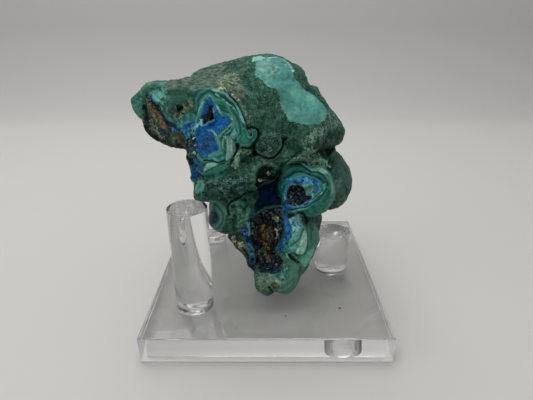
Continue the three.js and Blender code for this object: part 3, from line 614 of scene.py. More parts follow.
# Where the outline is pulled into shape: place on the show plane, pull across and up, and its reach, in mm.
PULLS = [
    ((-9, 77), (0, 0.6), 4), ((-22, 72), (-0.5, 0.6), 3), ((-33.4, 66.4), (-0.8, 0.9), 2.4),
    ((-38.4, 62), (-0.8, 0), 2.4), ((-37, 59), (-1.1, -0.4), 2.4), ((-34, 54), (-0.9, -0.6), 3),
    ((-32, 51), (-0.4, -0.6), 2.4), ((-27, 49), (0, -0.4), 3), ((-23, 46), (-0.7, 0), 2.4),
    ((-22, 40), (-0.4, 0), 2.4), ((-22, 36), (0.8, 0), 2.4), ((-19, 33), (1, 0.9), 2.4),
    ((-17, 26), (-0.8, -0.6), 3), ((-13, 21), (-1, -0.9), 3), ((-10, 18), (-0.8, -0.8), 2.4),
    ((-6, 11), (-0.8, -0.5), 2.4), ((-5, 5), (1.9, 0), 3.4), ((2, 3), (0, 0.5), 1.6),
    ((12, 75), (0.6, 0.3), 3), ((19, 65), (0.5, 0.3), 4), ((25, 56), (0.7, 0), 3),
    ((26, 47), (-0.8, -0.3), 3.4), ((30, 39), (0.4, 0), 3), ((18, 24), (-0.4, 0), 3),
    ((16, 16), (-0.8, 0), 3.4), ((20, 28), (0.5, 0), 2), ((-19, 30), (0.6, 0), 2.4),
    ((-15, 24), (-0.4, -0.5), 2.6), ((-13, 21), (-0.2, -0.2), 2), ((-23, 47), (-0.5, 0), 2.2),
    ((-23, 45), (-0.3, 0), 1.6), ((-29, 49), (0, -0.5), 1.6), ((-12, 77), (0, 0.4), 3),
    ((-8, 77), (0, 0.2), 2), ((29, 48), (-0.4, 0.1), 2.6), ((30, 44), (-0.2, 0), 2),
    ((26, 55), (-0.4, 0.1), 1.8), ((25, 60), (0.3, 0), 1.6), ((-37, 63), (0.3, -0.2), 2),
    ((-36, 55), (-0.3, 0), 1.6), ((-7, 12), (0.4, 0.2), 2.4), ((-5, 9), (0.5, 0), 1.6),
    ((-4, 4), (0.8, 0.2), 2.2), ((-22, 39), (-0.4, 0), 1.4), ((0, 77), (0, -0.2), 1.6),
    ((12, 69), (-0.4, 0), 1), ((19, 68), (-0.2, -0.2), 3), ((-23, 68), (0, 0.5), 2),
    ((-2.4, 7.5), (-1.5, 0), 2.4), ((-2.4, 4.5), (-0.9, -0.3), 2), ((1, 2.6), (0, -0.4), 2),
    ((-1.5, 5.2), (-1.3, -0.2), 2.2),
]

# How the show side is sculpted: marking, how deep it sinks in mm (under 0 it stands proud), and how wide its
# slope is in mm.
SCULPTED = [
    ("arm_bowl", 1.2, 1),
    ("arm_rim", -0.4, 0.6),
    ("crevice", 2.4, 0.8),
    ("rust", -0.5, 0.6),
    ("dark_band", 0.7, 0.5),
    ("wave", -0.3, 0.4),
    ("star_vug", 1.8, 0.5),
    ("star_blue", 0.4, 0.5),
    ("star_hem", -0.3, 0.4),
    ("rim_line", -0.6, 0.5),
    ("rim_shadow", 0.5, 0.4),
    ("crust_lip", -0.7, 0.8),
    ("flap", -0.9, 0.6),
    ("flap_shadow", 1.2, 0.4),
    ("pale_knob", -1, 1),
    ("black_gap", 3, 0.6),
    ("pale_leaf", -0.4, 0.4),
    ("skirt_dark", 0.5, 0.3),
    ("disc_groove", 1, 0.4),
    ("disc_pit", 0.8, 0.5),
    ("disc_rim", -0.3, 0.3),
    ("crust_hem", -0.8, 0.8),
    ("cave_shade", 1.2, 1),
    ("nook", 1.6, 0.6),
    ("finger_groove", 1, 0.5),
    ("finger_nick", 0.8, 0.4),
    ("olive_shades", 0.5, 0.6),
    ("roof", 3, 0.9),
    ("navy_hollow", 1.4, 0.8),
    ("eye_ring", 0.6, 0.5),
    ("eye_dark_a", 0.5, 0.4),
    ("eye_dark_b", 0.4, 0.4),
    ("crest", -0.4, 0.5),
    ("eye_core", 2.2, 0.6),
    ("column_cavity", 1.3, 0.7),
    ("rust_core", -1.6, 1.4),
    ("cream_bits", -0.5, 0.4),
    ("eye_gap_shadow", 1.4, 0.6),
    ("shell_crack", 1, 0.4),
    ("pale_lobe", -0.5, 1.2),
    ("lobe_white", -0.3, 0.6),
    ("curl", -0.4, 0.5),
    ("tip_groove", 1, 0.5),
]


def depth_in(name, places):
    """How far each place is inside the named outline, stroke or group of them, in mm."""
    if name in GROUPS:
        return deepest_in(GROUPS[name], places)
    if name in OUTLINES:
        return depth_in_shape(places, OUTLINES[name])
    return depth_in_shape(places, *STROKES[name])


def deepest_in(names, places):
    return np.max([depth_in(name, places) for name in names], axis=0)


# ---------------------------------------------------------------- the stone's shape
CROWN_RUB = 0.7  # how strongly the crown's creases are rubbed away, 0 to 1
CROWN_ROUNDS = 90
PULL_SPREAD = 1.6  # a pull fades to nothing at this many times its reach
# Where something starts and where it is full. A facing is 1 straight towards the viewer and -1 straight away.
THINNED = (-0.1, 0.25)  # how far the surface faces away, for thinning
SCULPTED_FACING = (0.05, 0.4)
ROUGH_EDGE = (-0.2, 0.4)  # mm inside a marking


def smoothed(points, edges, strength, rounds):
    """The points drawn towards their neighbours. Strength is 0 to 1, for all points or at each of them."""
    degree = np.bincount(edges.ravel(), minlength=len(points))[:, None]
    strength = np.broadcast_to(strength, len(points))[:, None]
    for _ in range(rounds):
        total = np.stack(
            [np.bincount(edges[:, 0], points[edges[:, 1], k], len(points))
             + np.bincount(edges[:, 1], points[edges[:, 0], k], len(points)) for k in range(3)],
            axis=1,
        )
        points = points + strength * (total / degree - points)
    return points


def seen_from_show_side(thing, points, normals):
    """1 where nothing stands between a point and the viewer and 0 elsewhere, and how far it faces them."""
    tree = BVHTree.FromObject(thing, bpy.context.evaluated_depsgraph_get())
    way = Vector(SHOW)
    facing = normals @ SHOW
    seen = np.zeros(len(points))
    for i in np.nonzero(facing > 0)[0]:
        start = Vector((points[i] + normals[i] * 0.2 + SHOW * 0.4) * MM)  # clear of the surface itself
        seen[i] = tree.ray_cast(start, way)[0] is None
    return seen, facing


def thin_hidden_sides(stone):
    """Leaves fewer points on the sides of the stone that face away from the show side."""
    add_group(stone, "hidden", ease(-(normals_of(stone) @ SHOW), *THINNED))
    apply_modifier(stone, "DECIMATE", ratio=SHARE_KEPT, vertex_group="hidden", use_collapse_triangulate=True)
    stone.vertex_groups.remove(stone.vertex_groups["hidden"])


def make_stone():
    """One closed surface of fine triangles over all the stone's lobes and the lumps that fill its gaps."""
    stone = new_object("stone_surface", frame["nodes"]["stone"].data.copy())
    stone.data.materials.clear()
    make_active(stone)
    bpy.ops.object.mode_set(mode="EDIT")
    bpy.ops.mesh.select_all(action="SELECT")
    bpy.ops.mesh.remove_doubles(threshold=1e-6)
    bpy.ops.mesh.select_all(action="DESELECT")
    for centre, radius in LUMPS:
        place = np.array(centre) * MM
        bpy.ops.mesh.primitive_ico_sphere_add(subdivisions=3, radius=radius * MM, location=place)
    bpy.ops.object.mode_set(mode="OBJECT")
    apply_modifier(stone, "REMESH", mode="VOXEL", voxel_size=GRID * MM, use_smooth_shade=True)
    thin_hidden_sides(stone)
    edges = read(stone.data.edges, "vertices", 2, np.int32)
    points = smoothed(points_of(stone), edges, 0.5, 4)
    set_points(stone, points)
    return stone, points, edges


def soften_crust(stone, points, edges):
    """Rubs the creases between lobes away on the crown, where one crust has grown over them all.

    The crown lies right of one slanting line and above another, and everything near the top belongs to it.
    """
    across, up = on_show_plane(points).T
    crown = ease(across + 0.35 * (up - 60), -9, -4) * ease(up - 0.22 * across, 46, 51)
    crown = np.maximum(crown, ease(up, 63, 66))
    points = smoothed(points, edges, CROWN_RUB * crown, CROWN_ROUNDS)
    set_points(stone, points)
    return points


def pull_into_shape(stone, points):
    """Pulls the stone's outline in and out, all the way through its depth."""
    places = on_show_plane(points)
    moves = np.zeros_like(places)
    for place, pull, reach in PULLS:
        gap = np.hypot(*(places - place).T)
        moves += ease(gap, reach * PULL_SPREAD, 0)[:, None] * pull
    points = points + moves[:, :1] * np.array([1, 0, 0]) + moves[:, 1:] * SHOW_UP
    set_points(stone, points)
    return points


def sculpt(stone, points):
    """Sinks and raises the markings, wherever the surface is turned to the viewer."""
    seen, facing = seen_from_show_side(stone, points, normals_of(stone))
    reach = seen * ease(facing, *SCULPTED_FACING)
    worked = np.nonzero(reach > 0)[0]
    places = on_show_plane(points[worked])
    sink = sum(depth * ease(depth_in(name, places), -slope / 2, slope / 2) for name, depth, slope in SCULPTED)
    points[worked] -= SHOW * (sink * reach[worked])[:, None]
    set_points(stone, points)
    return points


# The markings of each kind of rough surface. The crust is all that is left.
ROUGH_PLACES = {
    "crystals": [
        "star_vug", "eye_core", "column_cavity", "dark_band", "star_speckled", "navy_flank", "roof",
        "crevice", "base_blue",
    ],
    "matrix": [
        "arm_matrix", "dust_fan", "tip_tan", "crust_lip", "rust_core", "rust", "left_blue", "column_tan",
        "pebbles", "dusty_spot",
    ],
    "broken": [
        "arm_face", "star_face", "eye_face", "outer_shell", "lower_shell", "pale_lobe", "banded_heel",
        "tip_left",
    ],
}
# How each kind is roughened: the texture, the size of its features and their height, both in mm.
ROUGHENED = [
    ("all", "CLOUDS", 6, 0.9),
    ("crust", "CLOUDS", 1.6, 0.5),
    ("crust", "VORONOI", 1.1, 0.3),
    ("crust", "CLOUDS", 0.5, 0.3),
    ("broken", "CLOUDS", 2.4, 0.5),
    ("broken", "VORONOI", 2.2, 0.25),
    ("matrix", "VORONOI", 1.3, 0.9),
    ("matrix", "CLOUDS", 0.7, 0.35),
    ("crystals", "VORONOI", 0.9, 1.1),
]


def roughen(stone, points):
    """Grain on the crust, steps on the broken faces and small crystals in the hollows, all from textures."""
    seen, _ = seen_from_show_side(stone, points, normals_of(stone))
    marked = np.nonzero(seen)[0]
    places = on_show_plane(points[marked])
    weights = {"all": np.ones(len(points))}
    covered = np.zeros(len(points))
    for kind, names in ROUGH_PLACES.items():
        weights[kind] = np.zeros(len(points))
        weights[kind][marked] = ease(deepest_in(names, places), *ROUGH_EDGE)
        covered = np.maximum(covered, weights[kind])
    weights["broken"] *= 1 - np.maximum(weights["matrix"], weights["crystals"])
    weights["crust"] = 1 - covered
    for kind, texture_kind, size, height in ROUGHENED:
        texture = bpy.data.textures.new("relief", texture_kind)
        texture.noise_scale = size * MM
        if kind not in stone.vertex_groups:
            add_group(stone, kind, weights[kind], least=0.01)
        apply_modifier(
            stone, "DISPLACE", texture=texture, texture_coords="LOCAL", strength=height * MM, mid_level=0.5,
            vertex_group=kind,
        )
    stone.vertex_groups.clear()
    return points_of(stone)


def keep_in_box(points):
    low, high = (np.array(corner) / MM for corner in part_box("stone"))
    return np.clip(points, low, high)


# ---------------------------------------------------------------- shader helpers
def colour(red, green, blue):
    """A colour as a painter names it, 0 to 255, as linear light with alpha."""
    shares = [c / 255 for c in (red, green, blue)]
    return (*(c / 12.92 if c < 0.0404 else ((c + 0.055) / 1.055) ** 2.4 for c in shares), 1)


def feed(tree, node, values):
    """Gives a shader node its input values. A value may be another node's socket."""
    for key, value in values.items():
        if isinstance(value, bpy.types.NodeSocket):
            tree.links.new(value, node.inputs[key])
        else:
            node.inputs[key].default_value = value


def add(tree, kind, values=None, **settings):
    """A new shader node with its settings and input values."""
    made = tree.nodes.new("ShaderNode" + kind)
    for key, value in settings.items():
        setattr(made, key, value)
    feed(tree, made, values or {})
    return made


def calculate(tree, operation, *values):
    return add(tree, "Math", dict(enumerate(values)), operation=operation).outputs[0]


def times(tree, first, second):
    return calculate(tree, "MULTIPLY", first, second)


def times_plus(tree, value, factor, offset):
    return calculate(tree, "MULTIPLY_ADD", value, factor, offset)


def blend_colour(tree, share, below, above, way="MIX"):
    values = {0: share, 6: below, 7: above}
    return add(tree, "Mix", values, data_type="RGBA", blend_type=way).outputs[2]


def blend_value(tree, share, below, above):
    return add(tree, "Mix", {0: share, 2: below, 3: above}).outputs[0]


def spread(tree, value, low, high, smooth=False):
    """The value's place between low and high, as 0 to 1."""
    kind = "SMOOTHSTEP" if smooth else "LINEAR"
    values = {"Value": value, "From Min": low, "From Max": high}
    return add(tree, "MapRange", values, interpolation_type=kind).outputs[0]


def gradient(tree, share, tints):
    """A colour that runs evenly through the tints as the share goes from 0 to 1, from a ramp in a group."""
    group = bpy.data.node_groups.new("gradient", "ShaderNodeTree")
    group.interface.new_socket("share", in_out="INPUT", socket_type="NodeSocketFloat")
    group.interface.new_socket("tint", in_out="OUTPUT", socket_type="NodeSocketColor")
    ramp = group.nodes.new("ShaderNodeValToRGB")
    elements = ramp.color_ramp.elements
    for step in range(1, len(tints) - 1):
        elements.new(step / (len(tints) - 1))
    for element, tint in zip(elements, tints):
        element.color = tint
    group.links.new(group.nodes.new("NodeGroupInput").outputs[0], ramp.inputs[0])
    group.links.new(ramp.outputs[0], group.nodes.new("NodeGroupOutput").inputs[0])
    user = tree.nodes.new("ShaderNodeGroup")
    user.node_tree = group
    tree.links.new(share, user.inputs[0])
    return user.outputs[0]


def object_place(tree):
    return add(tree, "TexCoord").outputs["Object"]


def value_at_points(tree, name):
    return add(tree, "Attribute", attribute_name=name).outputs["Fac"]


def new_material(name):
    material = bpy.data.materials.new(name)
    material.use_nodes = True
    tree = material.node_tree
    return material, tree, tree.nodes["Principled BSDF"]


# ---------------------------------------------------------------- the stone's colours
LIGHT_LOSS = 2  # the colours below are noted as they look in soft light, so the pigment is this much stronger
SHEEN = (0.009, 0.004, 0.0045)  # what the surface's sheen adds to them
BRIGHTEST = 0.9  # no pigment reflects more than this
EDGE_SHARE = 0.3  # of a layer's softness, on each side of its edge
CRUST_ROUGHNESS = 0.75
DUSTING = 0.4  # how strongly dust shows, 0 to 1, as all the strengths below
GRAINS = 0.8
PITS = 0.55
# how strongly the painted shade in the creases shows
CREASE_SHADE_STRENGTH = 0.7
PALE_LINES = 0.75
DARK_LINES = 0.4
FINE_BANDS = 9.5  # how fast the fine lines follow each other, in radians for each mm of depth


def pigment(red, green, blue, strength=1.0):
    """The pigment that looks like a colour once it is lit. A little of the colour is left under any sheen."""
    bare = [max(c - sheen, 0.0006 + 0.1 * c) for c, sheen in zip(colour(red, green, blue), SHEEN)]
    return (*(min(c * LIGHT_LOSS * strength, BRIGHTEST) for c in bare), 1)


CRUST_TONES = [pigment(30, 52, 44), pigment(42, 70, 60), pigment(66, 96, 83)]
CRUST_DUST = pigment(112, 136, 116)
INK = pigment(10, 14, 17)
# the colour of the painted shade in the creases, where the shade falls
CREASE_SHADE_TINT = pigment(14, 20, 17)

# Patches on the sides that face away: texture, where a patch starts, where it is full, strength and colour.
BACK_PATCHES = [
    ("broad", 0.5, 0.1, 0.7, pigment(22, 38, 34)),
    ("broad", 0.55, 0.95, 0.75, pigment(92, 112, 96)),
    ("islands", 0.72, 0.8, 0.8, pigment(64, 116, 106)),
    ("islands", 0.25, 0.1, 0.6, pigment(74, 66, 50)),
]

# Each layer of the stone's finish, from the lowest to the uppermost:
#   marking, softness of its edge in mm, how ragged the edge is in mm, roughness, grain, strength of the
#   colours, what the colour follows, and the colours. The colour follows a texture, or else the depth inside
#   a marking between two limits in mm, with a wander in mm.
LAYERS = [
    # the arm
    ("arm_top", 1.2, 1, 0.75, 0.5, 0.55, "mottle", [(52, 72, 60), (79, 101, 87), (92, 114, 98),
        (116, 131, 116)]),
    ("dusty_spot", 0.8, 1, 0.8, 0.8, 0.85, "mottle", [(63, 60, 46), (96, 112, 95), (123, 140, 118)]),
    ("arm_face", 0.3, 0.2, 0.5, 0.4, 0.95, ("arm_face", 0, 5, 1.4), [(60, 100, 88), (42, 78, 68),
        (30, 62, 54), (44, 80, 70), (62, 100, 90), (32, 64, 58), (44, 84, 76), (30, 60, 58)]),
    ("arm_rim", 0.3, 0.3, 0.5, 0.5, 0.7, "marble", [(36, 80, 66), (54, 100, 86), (68, 113, 99),
        (92, 130, 117)]),
    ("arm_panel", 0.4, 0.2, 0.5, 0.4, 1.05, ("arm_top", -5, 0, 0.3), [(33, 67, 57), (62, 95, 86),
        (33, 67, 57), (46, 79, 70), (62, 95, 86), (40, 70, 64)]),
    ("teal_field", 0.4, 0.3, 0.5, 0.5, 1, "mottle", [(33, 68, 64), (46, 91, 86), (65, 114, 111)]),
    ("arm_fringe", 0.4, 0.5, 0.5, 0.5, 1.05, "mottle", [(51, 89, 73), (74, 116, 99), (90, 131, 115)]),
    ("arm_pale", 0.4, 0.4, 0.5, 0.4, 1.2, "mottle", [(56, 106, 110), (82, 135, 126), (100, 152, 139)]),
    ("crevice_rim", 0.4, 0.25, 0.7, 0.8, 1.5, "marble", [(26, 30, 23), (60, 70, 55), (90, 102, 83)]),
    ("arm_matrix", 0.5, 0.5, 0.7, 1, 0.95, "mottle", [(30, 34, 36), (48, 56, 52), (76, 74, 60),
        (34, 42, 44), (88, 90, 76)]),
    ("pebbles", 0.4, 0.5, 0.6, 1.2, 1.3, "facets", [(20, 26, 30), (55, 70, 62), (80, 95, 83), (31, 42, 37),
        (90, 76, 58)]),
    ("dark_band", 0.3, 0.5, 0.4, 1.4, 1.6, "facets", [(18, 24, 28), (47, 61, 64), (26, 36, 38),
        (36, 60, 84), (72, 96, 98)]),
    ("navy_under", 0.4, 0.5, 0.5, 1, 0.85, "facets", [(22, 29, 44), (37, 46, 61), (58, 73, 83)]),
    ("tan_ribbon", 0.4, 0.5, 0.7, 1, 1.65, "streaks", [(45, 47, 40), (69, 74, 65), (95, 101, 85)]),
    ("brown_base", 0.5, 0.6, 0.7, 1, 1.05, "streaks", [(29, 31, 27), (48, 49, 43), (69, 70, 62)]),
    ("rust", 0.3, 0.4, 0.7, 1.2, 1.55, "streaks", [(47, 42, 33), (77, 64, 48), (104, 84, 62),
        (77, 67, 53)]),
    ("crevice", 0.4, 0.3, 0.8, 1, 1, "mottle", [(6, 9, 7), (29, 35, 27)]),
    ("wave", 0.25, 0.15, 0.5, 0.3, 1, "mottle", [(40, 78, 80), (58, 104, 102), (76, 126, 122)]),
    # the star
    ("star_face", 0.3, 0.1, 0.45, 0.4, 0.9, ("star_blue", -6, 0, 0.6), [(66, 110, 98), (22, 60, 52),
        (44, 90, 80), (74, 122, 110), (22, 60, 54), (40, 88, 78), (62, 116, 108), (20, 56, 50),
        (50, 104, 94), (86, 140, 128), (40, 92, 84)]),
    ("rim_bands", 0.6, 0.2, 0.45, 0.4, 1.1, ("star_face", 0, 5, 0.3), [(79, 131, 117), (30, 72, 62),
        (60, 110, 98), (27, 66, 58), (70, 120, 108), (40, 86, 76), (26, 66, 58), (66, 116, 104)]),
    ("star_speckled", 0.5, 0.8, 0.5, 1.4, 1.45, "facets", [(8, 12, 15), (70, 104, 104), (14, 20, 26),
        (34, 60, 84), (16, 22, 24), (120, 152, 148)]),
    ("star_blue", 0.25, 0.25, 0.5, 0.9, 1, "mottle", [(24, 58, 104), (26, 80, 142), (32, 90, 152),
        (28, 66, 112), (40, 100, 160)]),
    ("star_dull", 2.6, 0.8, 0.5, 1, 1, "mottle", [(26, 50, 76), (38, 68, 100), (44, 84, 132)]),
    ("star_frost", 0.3, 0.4, 0.45, 1, 1.65, "facets", [(34, 67, 65), (84, 134, 140), (60, 100, 110),
        (106, 158, 158)]),
    ("star_vug", 0.2, 0.3, 0.3, 1.8, 1.05, "grain", [(4, 6, 7), (8, 11, 13), (14, 20, 22), (34, 48, 48),
        (70, 100, 96)]),
    ("star_hem", 0.15, 0.12, 0.45, 0.4, 0.95, "mottle", [(40, 98, 92), (72, 134, 126), (104, 168, 158)]),
    ("skirt", 0.4, 0.2, 0.45, 0.3, 1.2, "mottle", [(34, 82, 76), (54, 108, 104), (74, 132, 130)]),
    ("blue_sliver", 0.25, 0.1, 0.5, 0.4, 1.15, "mottle", [(46, 92, 98), (65, 115, 120), (87, 135, 138)]),
    ("black_gap", 0.4, 0.2, 0.8, 0.5, 1, "mottle", [(2, 3, 5), (14, 24, 22)]),
    ("pale_knob", 0.4, 0.2, 0.55, 0.6, 1.1, "streaks", [(44, 66, 60), (80, 114, 106), (108, 142, 134)]),
    ("blue_flank", 0.4, 0.3, 0.5, 1, 1.05, "mottle", [(14, 30, 48), (26, 66, 112), (35, 63, 86),
        (30, 74, 124), (73, 102, 117)]),
    ("green_facets", 0.2, 0.1, 0.4, 0.2, 1.65, "clouds", [(34, 66, 56), (44, 82, 71), (54, 98, 86)]),
    ("pale_leaf", 0.3, 0.1, 0.5, 0.3, 1.05, "mottle", [(80, 120, 106), (98, 140, 126), (115, 154, 139)]),
    ("flap", 0.3, 0.1, 0.45, 0.3, 1.8, ("flap", 0, 1.6, 0.3), [(57, 103, 94), (29, 65, 54), (42, 87, 76),
        (50, 96, 86)]),
    ("flap_hole", 0.3, 0.2, 0.6, 0.6, 1, "mottle", [(33, 52, 42), (55, 80, 68), (77, 109, 96)]),
    ("crust_lip", 0.5, 0.6, 0.8, 1, 0.75, "marble", [(51, 68, 56), (87, 107, 90), (70, 84, 68),
        (129, 146, 124)]),
    ("cream_sliver", 0.4, 0.2, 0.6, 0.5, 2.35, "streaks", [(40, 58, 50), (74, 98, 84), (94, 120, 104)]),
    ("rim_line", 0.25, 0.1, 0.45, 0.3, 1, "mottle", [(70, 118, 106), (100, 154, 142), (118, 174, 160)]),
    # the crown
    ("patch", 0.5, 0.15, 0.5, 0.35, 0.9, "clouds", [(60, 110, 103), (74, 127, 119), (80, 133, 124),
        (97, 150, 139)]),
    ("patch_haze", 3, 0.5, 0.5, 0.3, 1.05, "clouds", [(72, 128, 118), (81, 140, 130), (93, 151, 138)]),
    # the patch's top tip is painted paler, partly its own colour and partly painted light from above
    ("patch_tip", 2, 0.4, 0.5, 0.3, 0.75, "mottle", [(84, 132, 124), (100, 149, 140), (115, 163, 153)]),
    ("patch_marks", 1.2, 0.8, 0.5, 0.5, 0.9, "mottle", [(56, 98, 84), (74, 116, 102), (100, 148, 136)]),
    ("dust_right", 1.6, 1, 0.75, 0.8, 1.45, "mottle", [(37, 54, 50), (62, 82, 73), (85, 109, 96)]),
    ("side_lobe", 1.6, 0.6, 0.65, 0.5, 1.25, "clouds", [(30, 44, 42), (56, 74, 69), (46, 62, 58),
        (72, 94, 87)]),
    ("dark_lobe", 1.6, 0.8, 0.75, 1, 0.95, "mottle", [(27, 38, 35), (40, 54, 51), (64, 82, 77)]),
    ("dusty", 1.4, 1, 0.8, 1, 0.95, "mottle", [(42, 67, 58), (78, 104, 92), (106, 132, 117)]),
    ("disc", 0.4, 0.2, 0.6, 0.9, 1.05, "grain", [(18, 35, 29), (38, 58, 51), (60, 84, 76)]),
    ("disc_groove", 0.4, 0.15, 0.8, 0.6, 1, "mottle", [(5, 12, 10), (22, 32, 28)]),
    ("nook", 0.4, 0.3, 0.8, 0.8, 2.6, "mottle", [(4, 8, 6), (29, 37, 32), (66, 54, 38)]),
    ("cream_ledge", 0.5, 0.5, 0.75, 0.9, 1.85, "mottle", [(35, 48, 38), (59, 76, 63), (80, 103, 85)]),
    ("dust_fan", 0.9, 0.8, 0.75, 1, 2.1, "mottle", [(44, 50, 40), (68, 87, 76), (62, 80, 70),
        (88, 110, 97)]),
    # painted shade in the recess between the right lobes
    ("cave_shade", 0.7, 0.3, 0.8, 0.6, 2.6, "mottle", [(10, 15, 13), (23, 32, 29), (37, 40, 33)]),
    ("crust_hem", 0.7, 0.4, 0.7, 1, 2, "grain", [(42, 61, 52), (70, 91, 80), (91, 113, 100)]),
    # the finger and what is under it
    ("olive_lobe", 0.6, 0.4, 0.65, 0.9, 1.5, "mottle", [(24, 39, 33), (40, 62, 53), (57, 85, 73)]),
    ("olive_shades", 0.8, 0.4, 0.7, 0.8, 1.55, "mottle", [(18, 30, 24), (32, 48, 40)]),
    ("olive_edge", 0.6, 0.4, 0.6, 0.6, 1.35, "mottle", [(40, 67, 56), (60, 90, 76), (76, 106, 92)]),
    ("banded_heel", 0.3, 0.2, 0.45, 0.4, 1.05, ("navy_spot", -4.4, 0, 0.3), [(40, 58, 50), (48, 70, 60),
        (72, 104, 90), (64, 100, 88), (30, 58, 52), (72, 108, 98), (56, 96, 94), (24, 48, 58),
        (14, 24, 34)]),
    ("heel_lime", 0.5, 0.4, 0.5, 0.6, 1.3, "mottle", [(25, 63, 57), (40, 78, 73), (53, 92, 88)]),
    ("heel_teal", 0.8, 0.5, 0.6, 0.8, 1.25, "mottle", [(25, 40, 35), (38, 54, 48), (56, 73, 64)]),
    ("navy_spot", 0.4, 0.3, 0.5, 1, 0.75, "grain", [(10, 12, 18), (30, 36, 44), (56, 78, 80)]),
    ("finger", 0.5, 0.3, 0.7, 1.6, 1.45, "mottle", [(22, 37, 32), (40, 58, 53), (59, 82, 76)]),
    ("finger_sheen", 1.2, 0.6, 0.65, 1.4, 1.4, "grain", [(35, 54, 51), (52, 75, 71), (72, 96, 92)]),
    ("finger_slick", 1, 0.4, 0.6, 0.7, 1.15, "mottle", [(26, 41, 37), (37, 53, 50), (47, 63, 60)]),
    ("finger_tip", 0.4, 0.3, 0.5, 0.3, 0.95, ("finger_tip", 0, 1.6, 0.4), [(66, 108, 96), (84, 128, 114),
        (60, 104, 92), (40, 76, 68)]),
    ("finger_groove", 0.4, 0.2, 0.8, 0.5, 1.45, "mottle", [(6, 10, 8), (22, 32, 27)]),
    ("column_tan", 0.5, 0.5, 0.7, 1, 1.4, "facets", [(17, 23, 28), (55, 60, 56), (30, 32, 30),
        (102, 104, 90)]),
    # the hollow and its roof
    ("navy_hollow", 0.4, 0.3, 0.45, 0.7, 2.1, "mottle", [(6, 12, 20), (10, 22, 40), (24, 44, 66)]),
    ("hollow_glow", 1.4, 0.4, 0.5, 0.4, 2.6, "mottle", [(14, 24, 44), (20, 36, 68)]),
    ("roof", 0.4, 0.5, 0.7, 1, 1.3, "mottle", [(4, 5, 5), (9, 11, 10), (28, 26, 20), (8, 10, 9),
        (64, 54, 38)]),
    ("roof_moss", 0.8, 0.6, 0.7, 1, 2.6, "mottle", [(19, 37, 29), (34, 50, 41), (43, 64, 54)]),
    # the eye
    ("eye_face", 0.3, 0.1, 0.45, 0.4, 1.4, ("eye_ring", -4.6, 0, 0.4), [(37, 78, 69), (49, 88, 80),
        (30, 66, 60), (60, 106, 96), (36, 80, 72), (26, 60, 56), (44, 92, 84)]),
    ("eye_flat", 0.8, 0.3, 0.45, 0.3, 1.05, "mottle", [(24, 62, 53), (37, 78, 69), (49, 88, 80)]),
    ("side_green", 0.4, 0.2, 0.45, 0.5, 1.7, "mottle", [(19, 50, 50), (29, 68, 64), (42, 90, 82)]),
    ("eye_outer", 0.5, 0.2, 0.45, 0.4, 0.9, "mottle", [(24, 62, 55), (36, 78, 70), (51, 100, 89)]),
    ("crest", 0.4, 0.15, 0.45, 0.3, 0.95, "mottle", [(50, 98, 86), (74, 122, 109), (100, 143, 129)]),
    ("eye_ring", 0.3, 0.1, 0.45, 0.4, 1.05, ("eye_ring", 0, 1.5, 0.2), [(22, 60, 56), (64, 108, 98),
        (36, 84, 78), (60, 106, 96)]),
    ("eye_blue", 0.3, 0.3, 0.5, 0.9, 1, "mottle", [(16, 40, 70), (24, 74, 124), (44, 98, 140),
        (62, 112, 144)]),
    ("eye_green", 0.3, 0.4, 0.5, 0.7, 1.2, "mottle", [(29, 60, 58), (62, 98, 90), (88, 130, 120)]),
    ("eye_core", 0.25, 0.25, 0.25, 2, 0.9, "grain", [(3, 6, 8), (8, 12, 15), (18, 26, 30), (50, 66, 70)]),
    # the column
    ("left_blue", 0.3, 0.3, 0.5, 1, 1, "marble", [(8, 14, 22), (18, 44, 80), (34, 82, 136), (14, 30, 52),
        (26, 64, 108), (84, 124, 140)]),
    ("navy_flank", 0.3, 0.4, 0.5, 1.1, 1.3, "facets", [(11, 17, 24), (30, 39, 46), (20, 30, 50),
        (56, 66, 70)]),
    ("column_cavity", 0.3, 0.4, 0.35, 1.8, 1.15, "facets", [(7, 9, 12), (22, 25, 30), (12, 14, 17),
        (40, 46, 46), (14, 24, 36)]),
    ("base_blue", 0.4, 0.4, 0.45, 1.2, 1.15, "facets", [(16, 24, 34), (24, 54, 84), (31, 49, 57),
        (60, 90, 94)]),
    ("rust_core", 0.5, 0.6, 0.7, 1.3, 1.45, "streaks", [(16, 14, 11), (46, 38, 29), (26, 22, 17),
        (66, 54, 40)]),
    ("rust_granular", 0.6, 0.5, 0.7, 1.6, 2, "grain", [(15, 12, 10), (44, 39, 32), (74, 66, 56)]),
    ("rust_streaks", 0.3, 0.4, 0.7, 1, 1.65, "grain", [(48, 35, 22), (84, 64, 42), (104, 82, 58)]),
    ("chip_green", 0.3, 0.6, 0.6, 1.2, 2.3, "facets", [(22, 25, 20), (60, 66, 54), (34, 40, 34),
        (76, 84, 68)]),
    ("right_blue", 0.3, 0.2, 0.5, 0.7, 1.15, "mottle", [(21, 45, 71), (30, 72, 118), (38, 84, 134),
        (49, 94, 134)]),
    # the lobes and shells at the right, and the tip
    ("pale_lobe", 0.4, 0.2, 0.5, 0.4, 1.05, "marble", [(41, 92, 90), (70, 118, 112), (85, 134, 124)]),
    ("lobe_sky", 0.8, 0.4, 0.5, 0.5, 1.55, "marble", [(36, 66, 88), (76, 114, 119), (106, 144, 140),
        (84, 128, 132)]),
    ("lobe_white", 0.4, 0.3, 0.5, 0.4, 1.35, "mottle", [(85, 123, 108), (104, 139, 124), (119, 154, 138)]),
    ("curl", 0.3, 0.2, 0.45, 0.3, 1.4, "mottle", [(26, 78, 75), (47, 101, 97), (66, 121, 115)]),
    ("outer_shell", 0.3, 0.1, 0.45, 0.3, 1.2, ("outer_shell", 0, 2.6, 0.5), [(36, 73, 62), (58, 98, 86),
        (44, 84, 72), (68, 108, 96)]),
    ("shell_pale", 1.6, 0.3, 0.45, 0.3, 1.45, "mottle", [(62, 107, 91), (73, 119, 103), (84, 131, 114)]),
    ("lower_shell", 0.3, 0.1, 0.45, 0.3, 1.4, ("lower_shell", 0, 3, 0.6), [(44, 70, 59), (57, 91, 77),
